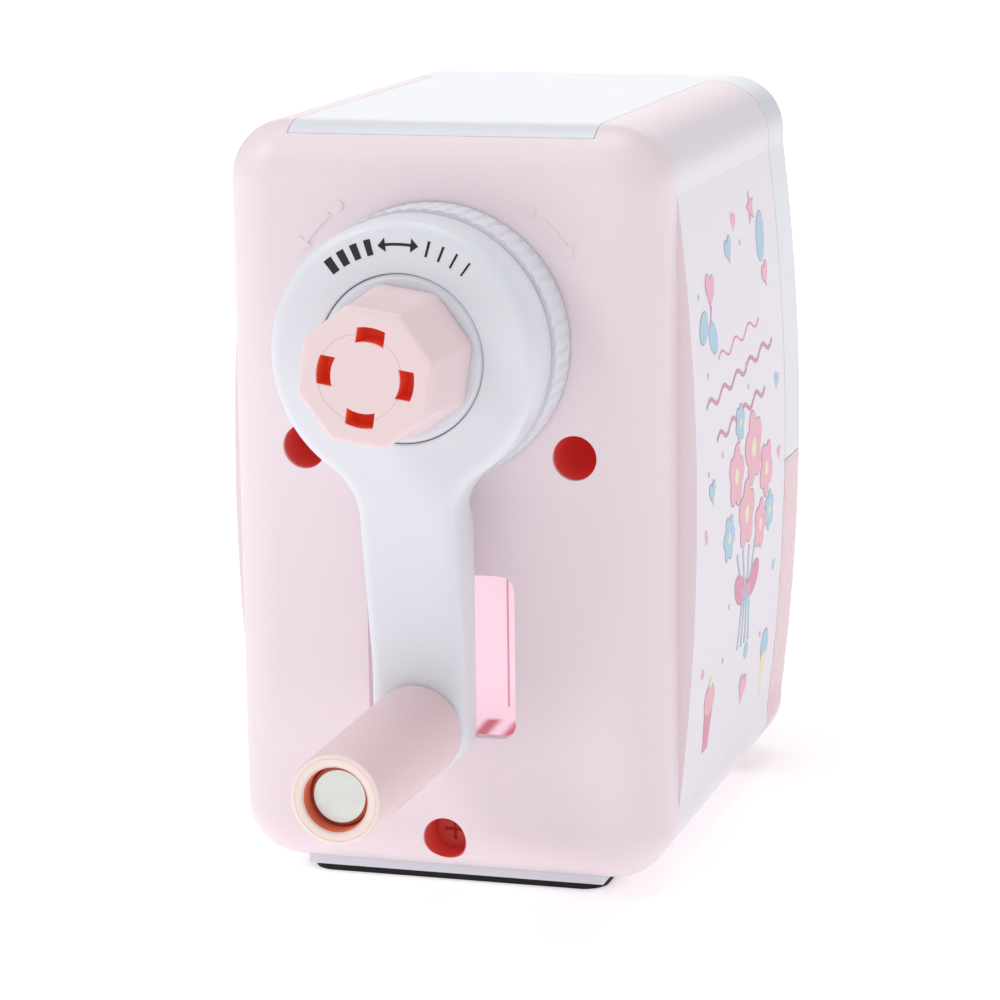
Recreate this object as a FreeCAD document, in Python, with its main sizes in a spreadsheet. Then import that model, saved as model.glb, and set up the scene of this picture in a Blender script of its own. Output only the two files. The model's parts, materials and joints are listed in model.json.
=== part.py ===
"""Hand-cranked desktop pencil sharpener: rounded pink case, white crank with a pink grip.

Millimetres. +Z is up, the crank side faces -Y, the pencil goes in from +Y along the crank axis.
The origin is the centre of the anti-slip pad's underside, where the sharpener stands.
"""
import FreeCAD
import Part
import Sketcher
import math
import os
import re

Vector = FreeCAD.Vector
Rotation = FreeCAD.Rotation
Placement = FreeCAD.Placement

# ---------------------------------------------------------------- driving dimensions
SIZES = [
    # case
    ("body_width", 72.0, "across the flat sides of the case"),
    ("body_depth", 98.0, "crank face to rear face"),
    ("body_top", 124.0, "top of the case above the table"),
    ("shell_floor", 2.0, "underside of the shell above the table"),
    ("wall", 2.2, "moulded wall"),
    ("corner", 9.5, "corner radius of the case outline"),
    ("front_round", 8.3, "rounding of the crank face edges"),
    ("rear_round", 7.0, "rounding of the rear face edges"),
    ("bow", 3.1, "how far each side panel bows out"),
    ("bow_middle", 62.3, "height of the fullest part of the bow"),
    ("bow_reach", 50.0, "half the height of the bowed panel"),
    ("crease", 12.7, "crank face to the step where the bowed panel starts"),
    ("seam", 79.3, "crank face to the rear seam"),
    ("panel_half", 25.1, "half width of the white top panel"),
    ("panel_start", 3.0, "crank face to the front edge of the top panel"),
    ("drawer_top", 57.5, "height of the line between drawer front and rear cover"),
    ("joint_gap", 0.3, "visible gap at a seam"),
    ("fit_gap", 0.12, "gap beside a fixed trim panel"),
    ("running", 0.06, "radial clearance of a running fit"),
    # base
    ("pad_half", 25.0, "half width of the anti-slip pad"),
    ("pad_front", 5.5, "crank face to the front edge of the pad"),
    ("pad_back", 92.8, "crank face to the back edge of the pad"),
    ("pad_thick", 1.0, "pad thickness"),
    ("plate_top", 3.1, "upper face of the base plate's slab"),
    ("tray_low", 4.3, "underside of the base plate's inner flange"),
    ("tray_top", 5.8, "upper face of the base plate's inner flange"),
    ("tray_half", 27.0, "half width of the inner flange"),
    ("tray_front", 16.0, "crank face to the inner flange"),
    ("tray_back", 78.0, "crank face to the back of the inner flange"),
    # case screws
    ("access_radius", 3.59, "screw access hole in the crank face"),
    ("access_x", 22.4, "upper access holes to the side of the crank axis"),
    ("access_z", 72.25, "height of the upper access holes"),
    ("access_low_z", 8.4, "height of the lower access hole"),
    ("boss_radius", 5.2, "screw boss"),
    ("boss_end", 30.0, "crank face to the end of the upper bosses"),
    ("low_boss_end", 11.0, "crank face to the end of the lower boss"),
    ("screw_head", 3.0, "case screw head radius"),
    ("screw_head_tall", 2.3, "case screw head height"),
    ("screw_shank", 1.5, "case screw shank radius"),
    ("screw_grip", 12.0, "case screw shank length"),
    ("low_screw_grip", 5.8, "shank length of the lower case screw"),
    ("boss_seat", 2.5, "boss wall under the screw head"),
    ("base_post_half", 4.5, "half width of the base plate's screw post"),
    ("base_post_tall", 10.0, "height of that post"),
    ("recess_half", 0.6, "cross recess half width"),
    # window
    ("window_half", 12.3, "half width of the window"),
    ("window_low", 25.9, "lower edge of the window"),
    ("window_high", 52.6, "upper edge of the window"),
    ("window_round", 2.5, "window corner radius"),
    # crank
    ("crank_z", 90.25, "height of the crank axis"),
    ("crank_throw", 60.0, "crank axis to grip axis"),
    ("arm_half", 7.8, "half width of the crank arm"),
    ("disc_radius", 21.4, "crank disc"),
    ("disc_front", 18.5, "crank face to the front of the crank disc"),
    ("disc_back", 8.6, "crank face to the back of the crank disc"),
    ("arm_end_round", 1.0, "rounding of the arm's lower end"),
    ("arm_blend", 9.0, "fillet between crank disc and arm"),
    ("arm_end_front", 13.0, "crank face to the front of the arm at the grip"),
    ("arm_back", 6.0, "crank face to the back of the arm"),
    ("cap_radius", 13.1, "hub cap"),
    ("cap_front", 18.6, "crank face to the front of the hub cap"),
    ("web_front", 13.4, "crank face to the web inside the crank disc"),
    ("spindle_bore", 3.6, "bore along the crank axis"),
    ("hub_screw_x", 7.5, "hub screws beside the crank axis"),
    ("hub_screw_radius", 1.3, "hub screw shank"),
    ("hub_screw_head", 2.4, "hub screw head"),
    ("hub_head_tall", 1.6, "hub screw head height"),
    ("hub_grip", 9.0, "hub screw shank length"),
    # grip
    ("grip_radius", 7.15, "grip sleeve at its free end"),
    ("grip_root", 7.5, "grip sleeve beside the arm"),
    ("grip_end", 53.0, "crank face to the end of the grip"),
    ("grip_gap", 0.3, "gap between arm and grip"),
    ("grip_mouth", 4.82, "recess at the grip's end"),
    ("grip_recess", 7.0, "depth of that recess"),
    ("pin_radius", 3.1, "grip pin"),
    ("pin_head", 4.5, "head of the grip pin"),
    ("pin_head_tall", 4.6, "height of that head"),
    # lock ring
    ("ring_radius", 21.9, "lock ring"),
    ("ring_front", 8.0, "crank face to the front of the lock ring"),
    ("ring_web", 4.0, "crank face to the back of the lock ring's web"),
    ("sleeve_radius", 20.3, "sleeve of the lock ring"),
    ("sleeve_bore", 19.5, "bore of that sleeve"),
    ("sleeve_end", 8.0, "how far the sleeve reaches into the case"),
    ("mouth_radius", 20.5, "mouth in the crank face"),
    ("lug_radius", 21.3, "bayonet lugs"),
    ("lug_start", 2.6, "crank face to the lugs"),
    ("lug_end", 5.2, "crank face to the back of the lugs"),
    ("lug_angle", 30.0, "width of a lug in degrees"),
    ("rib_depth", 0.22, "depth of the grooves round the lock ring"),
    ("rib_tool", 1.2, "radius of those grooves"),
    ("rib_count", 60, "number of those grooves"),
    ("journal", 11.0, "carrier journal in the lock ring"),
    ("flange_radius", 17.0, "carrier flange behind the lock ring's web"),
    ("hub_radius", 9.0, "carrier hub"),
    # knob
    ("knob_corner", 12.1, "corner radius of the octagonal knob at its base"),
    ("knob_taper", 3.0, "taper of the knob's sides in degrees"),
    ("knob_edge", 0.7, "rounding of the knob's edges"),
    ("knob_turn", -8.7, "how far the knob is turned at rest in degrees"),
    ("knob_back", 18.9, "crank face to the back of the knob"),
    ("knob_front", 35.4, "crank face to the front of the knob"),
    ("slot_outer", 7.62, "outer radius of the four slots"),
    ("slot_inner", 5.6, "inner radius of the four slots"),
    ("slot_deep", 5.0, "depth of the four slots"),
    ("slot_angle", 36.0, "width of a slot in degrees"),
    ("spindle_radius", 2.0, "adjuster spindle"),
    ("spindle_front", 32.0, "crank face to the outer end of the spindle"),
    ("spindle_end", 9.5, "how far the spindle reaches into the case"),
    ("stop_radius", 3.5, "tip stop"),
    ("stop_start", 4.0, "crank face to the start of the tip stop"),
    ("stop_sleeve", 16.0, "crank face to the end of its sleeve"),
    ("stop_tip", 23.2, "crank face to the end of its finger"),
    ("finger_half", 1.6, "half width of the finger"),
    # cutter
    ("tilt", 10.0, "angle between cutter axis and crank axis in degrees"),
    ("tip_y", 22.7, "crank face to the pencil's tip"),
    ("cutter_radius", 7.5, "helical cutter"),
    ("cutter_front", 0.2, "pencil tip to the cutter's front end"),
    ("cutter_length", 22.6, "cutting length"),
    ("cutter_bore", 1.6, "bore of cutter and pinion"),
    ("cutter_edges", 9, "helical cutting edges"),
    ("cutter_twist", 70.0, "turn of each edge along the cutter in degrees"),
    ("flute_depth", 0.9, "depth between the cutting edges"),
    ("axle_radius", 1.5, "cutter axle"),
    ("gear_plane", 48.5, "crank face to the plane where the gears mesh"),
    ("gear_half", 2.2, "half width of the pinion"),
    ("ring_teeth", 36, "teeth of the ring gear"),
    ("pinion_teeth", 12, "teeth of the pinion"),
    ("gear_outer", 22.6, "outside radius of the ring gear"),
    ("gear_front", 45.4, "crank face to the front of the ring gear"),
    ("gear_back", 52.6, "crank face to the back of the ring gear"),
    ("carrier_radius", 15.4, "end plates of the cutter carrier"),
    ("carrier_front", 8.5, "crank face to the carrier's front plate"),
    ("carrier_plate", 2.6, "thickness of the carrier's end plates"),
    ("carrier_back", 53.9, "crank face to the carrier's rear plate"),
    ("strut_radius", 2.2, "carrier strut"),
    ("strut_reach", 12.4, "crank axis to a strut"),
    ("strut_angle", 22.0, "how far a strut lies below the crank axis in degrees"),
    ("washer_radius", 3.2, "axle washer"),
    ("washer_thick", 0.6, "axle washer thickness"),
    # frame
    ("bulkhead", 57.0, "crank face to the bulkhead"),
    ("bulkhead_thick", 3.0, "bulkhead thickness"),
    ("frame_half", 33.6, "half width of the inner frame"),
    ("frame_low", 58.2, "underside of the chip shelf"),
    ("frame_thick", 2.0, "thickness of the chip shelf"),
    ("frame_top", 120.1, "top of the bulkhead"),
    ("frame_front", 13.0, "crank face to the chip shelf"),
    ("chute_half", 19.0, "half width of the chip chute"),
    ("post_x", 28.4, "cover posts beside the crank axis"),
    ("post_z", 113.8, "height of the cover posts"),
    ("post_radius", 3.4, "cover post"),
    ("cover_shank", 1.2, "cover screw shank radius"),
    ("cover_head", 2.6, "cover screw head radius"),
    ("cover_head_tall", 1.8, "cover screw head height"),
    ("cover_grip", 11.0, "cover screw shank length"),
    ("seat_radius", 24.4, "seat round the ring gear"),
    ("seat_front", 45.4, "crank face to the front of that seat"),
    ("guide_bore", 4.5, "pencil guide bore"),
    ("guide_outer", 6.5, "pencil guide outside"),
    ("guide_flange", 8.2, "pencil guide flange"),
    # drawer
    ("box_half", 31.0, "half width of the drawer's box"),
    ("box_front", 15.6, "crank face to the drawer's front wall"),
    ("box_low", 6.4, "underside of the drawer's box"),
    ("box_top", 56.4, "rim of the drawer's box"),
    ("box_wall", 1.8, "drawer wall"),
    ("drawer_low", 3.5, "underside of the drawer front"),
    ("pull_half", 15.0, "half width of the finger pull"),
    ("pull_low", 38.0, "lower edge of the finger pull"),
    ("pull_high", 48.0, "upper edge of the finger pull"),
    ("pull_deep", 7.0, "depth of the finger pull"),
    # chuck
    ("chuck_half", 26.0, "half width of the chuck plate"),
    ("chuck_low", 65.5, "lower edge of the chuck plate"),
    ("chuck_high", 116.5, "upper edge of the chuck plate"),
    ("chuck_thick", 4.0, "chuck plate thickness"),
    ("chuck_round", 8.0, "chuck plate corner radius"),
    ("mouth_half", 23.4, "half width of the opening behind the chuck plate"),
    ("mouth_low", 68.5, "lower edge of that opening"),
    ("mouth_high", 114.0, "upper edge of that opening"),
    ("inlet_radius", 4.6, "pencil inlet"),
    ("nose_radius", 8.0, "tube that guides the pencil behind the chuck plate"),
    ("nose_length", 17.0, "length of that tube"),
    ("cover_half", 19.0, "half width of the jaw cover"),
    ("cover_low", 76.0, "lower edge of the jaw cover"),
    ("cover_high", 112.5, "upper edge of the jaw cover"),
    ("cover_thick", 8.2, "depth of the jaw cover"),
    ("cover_wall", 2.4, "jaw cover wall"),
    ("chuck_screw_x", 14.0, "chuck screws beside the crank axis"),
    ("chuck_screw_z", 82.0, "height of the chuck screws"),
    ("chuck_shank", 1.2, "chuck screw shank radius"),
    ("chuck_head", 2.3, "chuck screw head radius"),
    ("chuck_head_tall", 1.6, "chuck screw head height"),
    ("chuck_grip", 8.0, "chuck screw shank length"),
    ("lug_post", 3.0, "screw lugs inside the jaw cover"),
    ("rod_x", 20.0, "guide rods beside the crank axis"),
    ("rod_z", 110.25, "height of the guide rods"),
    ("rod_radius", 2.0, "guide rod"),
    ("rod_front", 11.0, "crank face to the front end of the rods"),
    ("bush_radius", 3.4, "guide rod bush"),
    ("clip_radius", 3.6, "clip on the end of a rod"),
    ("clip_thick", 1.2, "thickness of that clip"),
    ("spring_wire", 0.45, "return spring wire radius"),
    ("spring_mean", 2.75, "return spring mean radius"),
    ("spring_turns", 15, "turns of a return spring"),
    ("pivot_x", 9.0, "jaw pivots beside the crank axis"),
    ("pivot_z", 101.0, "height of the jaw pivots"),
    ("pivot_radius", 1.5, "jaw pivot pin"),
    ("jaw_thick", 3.6, "jaw lever thickness"),
    ("jaw_face", 3.8, "crank axis to the face of a jaw pad"),
    ("jaw_spring_mean", 1.4, "jaw spring mean radius"),
    ("jaw_spring_wire", 0.3, "jaw spring wire radius"),
    ("jaw_spring_turns", 9, "turns of the jaw spring"),
    ("pad_rubber", 1.2, "thickness of a jaw pad"),
    ("tab_high", 120.5, "top of the pinch tabs"),
]

doc = FreeCAD.newDocument("pencil_sharpener")
sheet = doc.addObject("Spreadsheet::Sheet", "Sizes")
for row, (alias, number, note) in enumerate(SIZES, start=1):
    sheet.set(f"A{row}", str(number))
    sheet.setAlias(f"A{row}", alias)
    sheet.set(f"B{row}", note)
doc.recompute()
ALIASES = {alias for alias, _, _ in SIZES}
WORD = re.compile(r"[a-z_]+")

# places that many pieces share
FACE = "(-body_depth / 2)"
REAR = "(body_depth / 2)"
SEAM = "(seam - body_depth / 2)"
FLAT = "(body_width / 2)"
BOW_RADIUS = "((bow_reach ^ 2 + bow ^ 2) / (2 * bow))"
GRIP_Z = "(crank_z - crank_throw)"
PLATE_BACK = f"({REAR} + joint_gap + chuck_thick)"
AXIS_TURN = {
    "X": Rotation(Vector(0, 1, 0), 90),
    "Y": Rotation(Vector(1, 0, 0), -90),
    "Z": Rotation(),
}
parts = {}


# ---------------------------------------------------------------- helpers
def value(text):
    """The number that a text of sheet words comes to."""
    return float(sheet.evalExpression(text))


def bind(item, name, text):
    """Bind one property to a text of sheet words."""
    item.setExpression(name, WORD.sub(lambda m: "Sizes." + m[0] if m[0] in ALIASES else m[0], text))


def place(item, x, y, z, axis="Z"):
    """Put an item at x, y, z with its own Z along the named axis."""
    item.Placement = Placement(Vector(), AXIS_TURN[axis])
    bind(item, "Placement.Base.x", x)
    bind(item, "Placement.Base.y", y)
    bind(item, "Placement.Base.z", z)
    return item


def block(name, x_low, x_high, y_low, y_high, z_low, z_high):
    item = doc.addObject("Part::Box", name)
    bind(item, "Length", f"({x_high}) - ({x_low})")
    bind(item, "Width", f"({y_high}) - ({y_low})")
    bind(item, "Height", f"({z_high}) - ({z_low})")
    return place(item, x_low, y_low, z_low)


def cylinder(name, radius, start, end, x="0", z="0", axis="Y", y="0"):
    """A cylinder from start to end along its axis; the other two coordinates place it."""
    item = doc.addObject("Part::Cylinder", name)
    bind(item, "Radius", radius)
    bind(item, "Height", f"({end}) - ({start})")
    spot = {"X": (start, y, z), "Y": (x, start, z), "Z": (x, y, start)}[axis]
    return place(item, *spot, axis)


def group(kind, name, items):
    item = doc.addObject(kind, name)
    item.Shapes = items
    return item


def fuse(name, items):
    return group("Part::MultiFuse", name, items)


def common(name, items):
    return group("Part::MultiCommon", name, items)


def cut(name, base, tools):
    item = doc.addObject("Part::Cut", name)
    item.Base = base
    item.Tool = tools[0] if len(tools) == 1 else fuse(name + "_tools", tools)
    return item


def rounded(name, base, radius, chosen):
    """Fillet the edges that chosen(edge) picks, all with one radius of the sheet."""
    doc.recompute()
    item = doc.addObject("Part::Fillet", name)
    item.Base = base
    number = value(radius)
    picked = [i for i, edge in enumerate(base.Shape.Edges, start=1) if chosen(edge)]
    item.Edges = [(i, number, number) for i in picked]
    return item


def along(axis):
    """Picks the straight edges that run along an axis."""
    way = {"X": Vector(1, 0, 0), "Y": Vector(0, 1, 0), "Z": Vector(0, 0, 1)}[axis]

    def chosen(edge):
        if edge.Curve.TypeId != "Part::GeomLine":
            return False
        return edge.Curve.Direction.cross(way).Length < 1e-6

    return chosen


def level(axis, text):
    """Picks the edges that lie wholly in the plane where an axis has one value."""
    number = value(text)

    def chosen(edge):
        box = edge.BoundBox
        low, high = {"X": (box.XMin, box.XMax), "Y": (box.YMin, box.YMax), "Z": (box.ZMin, box.ZMax)}[axis]
        return abs(low - number) < 0.01 and abs(high - number) < 0.01

    return chosen


def node(name, item):
    """Keep an item as a sub-part of the assembly, under its own label."""
    item.Label = name
    parts[name] = item
    return item


def solid_node(name, shape):
    """A sub-part whose shape is made directly; it still reads its sizes from the sheet."""
    item = doc.addObject("Part::Feature", name)
    item.Shape = shape
    return node(name, item)


def body(name):
    item = doc.addObject("PartDesign::Body", name)
    return node(name, item)


def sketch_on(owner, role, offset):
    """A sketch on one of the body's origin planes, moved along the plane's normal."""
    plane = next(f for f in owner.Origin.OriginFeatures if f.Role == role)
    drawing = owner.newObject("Sketcher::SketchObject", owner.Label + "_sketch")
    drawing.AttachmentSupport = [(plane, "")]
    drawing.MapMode = "FlatFace"
    bind(drawing, "AttachmentOffset.Base.z", offset)
    return drawing


def fix_point(drawing, index, end, x, y):
    """Hold one end of a drawn element at x, y, both texts of sheet words."""
    for kind, text in (("DistanceX", x), ("DistanceY", y)):
        number = drawing.addConstraint(Sketcher.Constraint(kind, -1, 1, index, end, value(text)))
        bind(drawing, f"Constraints[{number}]", text)


def draw_polygon(drawing, points):
    """A closed outline whose corners are pairs of texts of sheet words."""
    spots = [Vector(value(x), value(y), 0) for x, y in points]
    first = drawing.GeometryCount
    for i, spot in enumerate(spots):
        drawing.addGeometry(Part.LineSegment(spot, spots[(i + 1) % len(spots)]), False)
    for i in range(len(spots)):
        after = first + (i + 1) % len(spots)
        drawing.addConstraint(Sketcher.Constraint("Coincident", first + i, 2, after, 1))
    for i, (x, y) in enumerate(points):
        fix_point(drawing, first + i, 1, x, y)


def draw_circle(drawing, x, y, radius):
    spot = Vector(value(x), value(y), 0)
    index = drawing.addGeometry(Part.Circle(spot, Vector(0, 0, 1), value(radius)), False)
    fix_point(drawing, index, 3, x, y)
    number = drawing.addConstraint(Sketcher.Constraint("Radius", index, value(radius)))
    bind(drawing, f"Constraints[{number}]", radius)


def pad(owner, drawing, length, backward=True):
    """Pad a sketch; on the XZ plane backward means towards +Y."""
    item = owner.newObject("PartDesign::Pad", owner.Label + "_pad")
    item.Profile = drawing
    bind(item, "Length", length)
    item.Reversed = backward
    owner.Tip = item
    return item


def pocket(owner, drawing, length, backward=True):
    item = owner.newObject("PartDesign::Pocket", owner.Label + "_pocket")
    item.Profile = drawing
    bind(item, "Length", length)
    item.Reversed = not backward
    owner.Tip = item
    return item


def dress(owner, kind, name, size, chosen):
    """A PartDesign fillet or chamfer on the edges that chosen(edge) picks."""
    doc.recompute()
    base = owner.Tip
    item = owner.newObject("PartDesign::" + kind, name)
    picked = [f"Edge{i}" for i, edge in enumerate(base.Shape.Edges, start=1) if chosen(edge)]
    item.Base = (base, picked)
    bind(item, "Radius" if kind == "Fillet" else "Size", size)
    owner.Tip = item
    return item


def revolved(name, points, x="0", z="0"):
    """A turned piece: points are (radius, y) pairs, turned about a line along Y."""
    owner = body(name)
    drawing = sketch_on(owner, "YZ_Plane", x)
    draw_polygon(drawing, [(y, f"({z}) + ({radius})") for radius, y in points])
    axis = drawing.addGeometry(Part.LineSegment(Vector(0, value(z), 0), Vector(10, value(z), 0)), True)
    drawing.addConstraint(Sketcher.Constraint("Horizontal", axis))
    fix_point(drawing, axis, 1, "0", z)
    turn = owner.newObject("PartDesign::Revolution", name + "_turn")
    turn.Profile = drawing
    turn.ReferenceAxis = (drawing, ["Axis0"])
    turn.Angle = 360
    owner.Tip = turn
    return owner



def box_outline(owner, role, offset, low, high):
    """A rectangle sketch from the low corner to the high corner."""
    drawing = sketch_on(owner, role, offset)
    corners = [low, (high[0], low[1]), high, (low[0], high[1])]
    draw_polygon(drawing, corners)
    return drawing


# ---------------------------------------------------------------- case
def envelope(name, inset, front, rear, start):
    """The case's outline, drawn in by inset, with the bowed side panels from start to the rear."""
    half = f"({FLAT} - {inset})"
    low = f"shell_floor + {inset}"
    core = block(name + "_core", f"-{half}", half, front, rear, low, f"body_top - {inset}")
    core = rounded(name + "_outline", core, f"corner - {inset}", along("Y"))
    core = rounded(name + "_front", core, f"front_round - {inset}", level("Y", front))
    core = rounded(name + "_rear", core, f"rear_round - {inset}", level("Y", rear))
    bows = []
    for side, sign in (("right", "1"), ("left", "-1")):
        middle = f"{sign} * ({FLAT} + bow - {BOW_RADIUS})"
        roll = cylinder(f"{name}_{side}_roll", f"{BOW_RADIUS} - {inset}", start, rear, middle, "bow_middle")
        inner = f"({FLAT} - {inset} - 2 * rear_round)"
        outer = f"({FLAT} + bow + 1)"
        ends = (inner, outer) if sign == "1" else (f"-{outer}", f"-{inner}")
        reach = ("bow_middle - bow_reach - 1", "bow_middle + bow_reach + 1")
        slab = block(f"{name}_{side}_slab", *ends, start, rear, *reach)
        segment = common(f"{name}_{side}_segment", [roll, slab])
        bows.append(rounded(f"{name}_{side}_bow", segment, f"rear_round - {inset}", curved_at("Y", rear)))
    return fuse(name, [core] + bows)


def curved_at(axis, text):
    """Picks the curved edges that lie in the plane where an axis has one value."""
    in_plane = level(axis, text)
    return lambda edge: in_plane(edge) and edge.Curve.TypeId != "Part::GeomLine"


def mirrored_pair(make, name):
    """The same block or cylinder on both sides of the crank axis."""
    return [make(f"{name}_{side}", sign) for side, sign in (("right", "1"), ("left", "-1"))]


def access_holes(name):
    """Three screw access holes, each with a narrower hole through the boss wall."""
    spots = [("access_x", "access_z", "boss_end"), ("-access_x", "access_z", "boss_end")]
    spots.append(("0", "access_low_z", "low_boss_end"))
    holes = []
    for i, (x, z, end) in enumerate(spots):
        deep = f"{FACE} + {end} - boss_seat"
        holes.append(cylinder(f"{name}_wide_{i}", "access_radius", f"{FACE} - 1", deep, x, z))
        holes.append(cylinder(
            f"{name}_narrow_{i}", "screw_shank + 0.2", f"{deep} - 1", f"{FACE} + {end} + 1", x, z,
        ))
    return holes


def bosses(name):
    """Screw bosses behind the crank face."""
    spots = [("access_x", "access_z", "boss_end"), ("-access_x", "access_z", "boss_end")]
    spots.append(("0", "access_low_z", "low_boss_end"))
    start = f"{FACE} + wall / 2"
    return [
        cylinder(f"{name}_{i}", "boss_radius", start, f"{FACE} + {end}", x, z)
        for i, (x, z, end) in enumerate(spots)
    ]


def sector(radius, angle, middle, start, end):
    """A wedge of a disc about the crank axis, angle wide round the direction middle, in degrees."""
    wedge = Part.makeCylinder(radius, end - start, Vector(), Vector(0, 1, 0), angle)
    wedge.rotate(Vector(), Vector(0, 1, 0), -middle - angle / 2 - wedge_zero(radius, angle))
    wedge.translate(Vector(0, start, value("crank_z")))
    return wedge


def wedge_zero(radius, angle):
    """The direction, in degrees from +X towards +Z, in which a fresh wedge's first side points."""
    fresh = Part.makeCylinder(radius, 1, Vector(), Vector(0, 1, 0), angle)
    centre = fresh.CenterOfMass
    return -(math.degrees(math.atan2(centre.z, centre.x)) + angle / 2)


def lug_notches():
    """Entry notches for the bayonet lugs in the mouth of the crank face."""
    item = doc.addObject("Part::Feature", "lug_notches")
    start = value(f"{FACE} - 1")
    end = value(f"{FACE} + wall + 1")
    angle = value("lug_angle") + 4
    wedges = [sector(value("lug_radius") + 0.3, angle, turn, start, end) for turn in (90, 210, 330)]
    item.Shape = wedges[0].fuse(wedges[1:])
    return item


def front_shell(outer, inner):
    region = block("shell_region", "-body_width", "body_width", f"{FACE} - 1", SEAM, "0", "body_top + 1")
    skin = common("shell_skin", [outer, region])
    hollow = cut("shell_hollow", skin, [inner])
    trimmed = common("shell_bosses_trimmed", [outer, fuse("shell_bosses", bosses("shell_boss"))])
    with_bosses = fuse("shell_with_bosses", [hollow, trimmed])
    top = block(
        "shell_top_opening", "-(panel_half + fit_gap)", "panel_half + fit_gap", f"{FACE} + panel_start",
        f"{SEAM} + 1", "body_top - wall - 0.01", "body_top + 1",
    )
    bottom = block(
        "shell_bottom_opening", "-(pad_half + joint_gap)", "pad_half + joint_gap",
        f"{FACE} + pad_front - joint_gap", f"{SEAM} + 1", "0", "shell_floor + wall + 0.01",
    )
    mouth = cylinder("shell_mouth", "mouth_radius", f"{FACE} - 1", f"{FACE} + wall + 1", "0", "crank_z")
    window = block(
        "window_block", "-window_half", "window_half", f"{FACE} - 1", f"{FACE} + wall + 1",
        "window_low", "window_high",
    )
    window = rounded("window_outline", window, "window_round", along("Y"))
    tools = [top, bottom, mouth, window, lug_notches()] + access_holes("shell_access")
    return node("front_shell", cut("front_shell", with_bosses, tools))


def top_rear_cover(outer, inner):
    start = f"{SEAM} + joint_gap"
    region = block(
        "cover_region", "-body_width", "body_width", start, f"{REAR} + 1", "drawer_top",
        "body_top + 1",
    )
    cap = common("cover_cap", [outer, region])
    room = block(
        "cover_room", "-body_width", "body_width", f"{SEAM} - 1", f"{REAR} + 1",
        "drawer_top + wall", "body_top + 1",
    )
    hollow = common("cover_hollow", [inner, room])
    panel_block = block(
        "panel_block", "-panel_half", "panel_half", f"{FACE} + panel_start + fit_gap", f"{start} + wall",
        "body_top - wall", "body_top + 1",
    )
    panel = common("cover_panel", [outer, panel_block])
    rails = mirrored_pair(
        lambda label, sign: block(
            label, f"{sign} * (panel_half - 0.9) - 2.1",
            f"{sign} * (panel_half - 0.9) + 2.1", f"{FACE} + front_round + 1",
            f"{start} + wall", "body_top - wall - 1.5", "body_top - wall",
        ),
        "cover_rail",
    )
    posts = mirrored_pair(
        lambda label, sign: cylinder(
            label, "post_radius", f"{FACE} + bulkhead + bulkhead_thick", f"{REAR} - wall / 2",
            f"{sign} * post_x", "post_z",
        ),
        "cover_post",
    )
    opening = block(
        "chuck_opening_block", "-mouth_half", "mouth_half", f"{REAR} - wall - 1", f"{REAR} + 1",
        "mouth_low", "mouth_high",
    )
    opening = rounded("chuck_opening", opening, "chuck_round - 2", along("Y"))
    pilots = mirrored_pair(
        lambda label, sign: cylinder(
            label, "cover_shank", f"{FACE} + bulkhead", f"{FACE} + bulkhead + bulkhead_thick + 10",
            f"{sign} * post_x", "post_z",
        ),
        "cover_pilot",
    )
    open_cap = cut("cover_open_cap", cap, [hollow, opening])
    whole = fuse("cover_whole", [open_cap, panel] + rails + posts)
    return node("top_rear_cover", cut("top_rear_cover", whole, pilots))


def base_plate():
    owner = body("base_plate")
    slab = box_outline(
        owner, "XY_Plane", "pad_thick", ("-pad_half - 0.1", f"{FACE} + pad_front - 0.1"),
        ("pad_half + 0.1", f"{FACE} + pad_back + 0.1"),
    )
    pad(owner, slab, "plate_top - pad_thick", False)
    neck = box_outline(
        owner, "XY_Plane", "plate_top - 0.1", ("-pad_half", f"{FACE} + tray_front"),
        ("pad_half", f"{FACE} + tray_back"),
    )
    pad(owner, neck, "tray_top - plate_top + 0.1", False)
    flange = box_outline(
        owner, "XY_Plane", "tray_low", ("-tray_half", f"{FACE} + tray_front"),
        ("tray_half", f"{FACE} + tray_back"),
    )
    pad(owner, flange, "tray_top - tray_low", False)
    post = box_outline(
        owner, "XY_Plane", "plate_top - 0.1", ("-base_post_half", f"{FACE} + low_boss_end + 0.1"),
        ("base_post_half", f"{FACE} + box_front - 0.8"),
    )
    pad(owner, post, "base_post_tall", False)
    hole = sketch_on(owner, "XZ_Plane", f"-({FACE} + low_boss_end)")
    draw_circle(hole, "0", "access_low_z", "screw_shank")
    pocket(owner, hole, "box_front - low_boss_end")
    return owner


def anti_slip_pad():
    owner = body("anti_slip_pad")
    outline = box_outline(
        owner, "XY_Plane", "0", ("-pad_half", f"{FACE} + pad_front"), ("pad_half", f"{FACE} + pad_back"),
    )
    pad(owner, outline, "pad_thick", False)
    dress(owner, "Fillet", "pad_corners", "4", along("Z"))
    return owner


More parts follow.
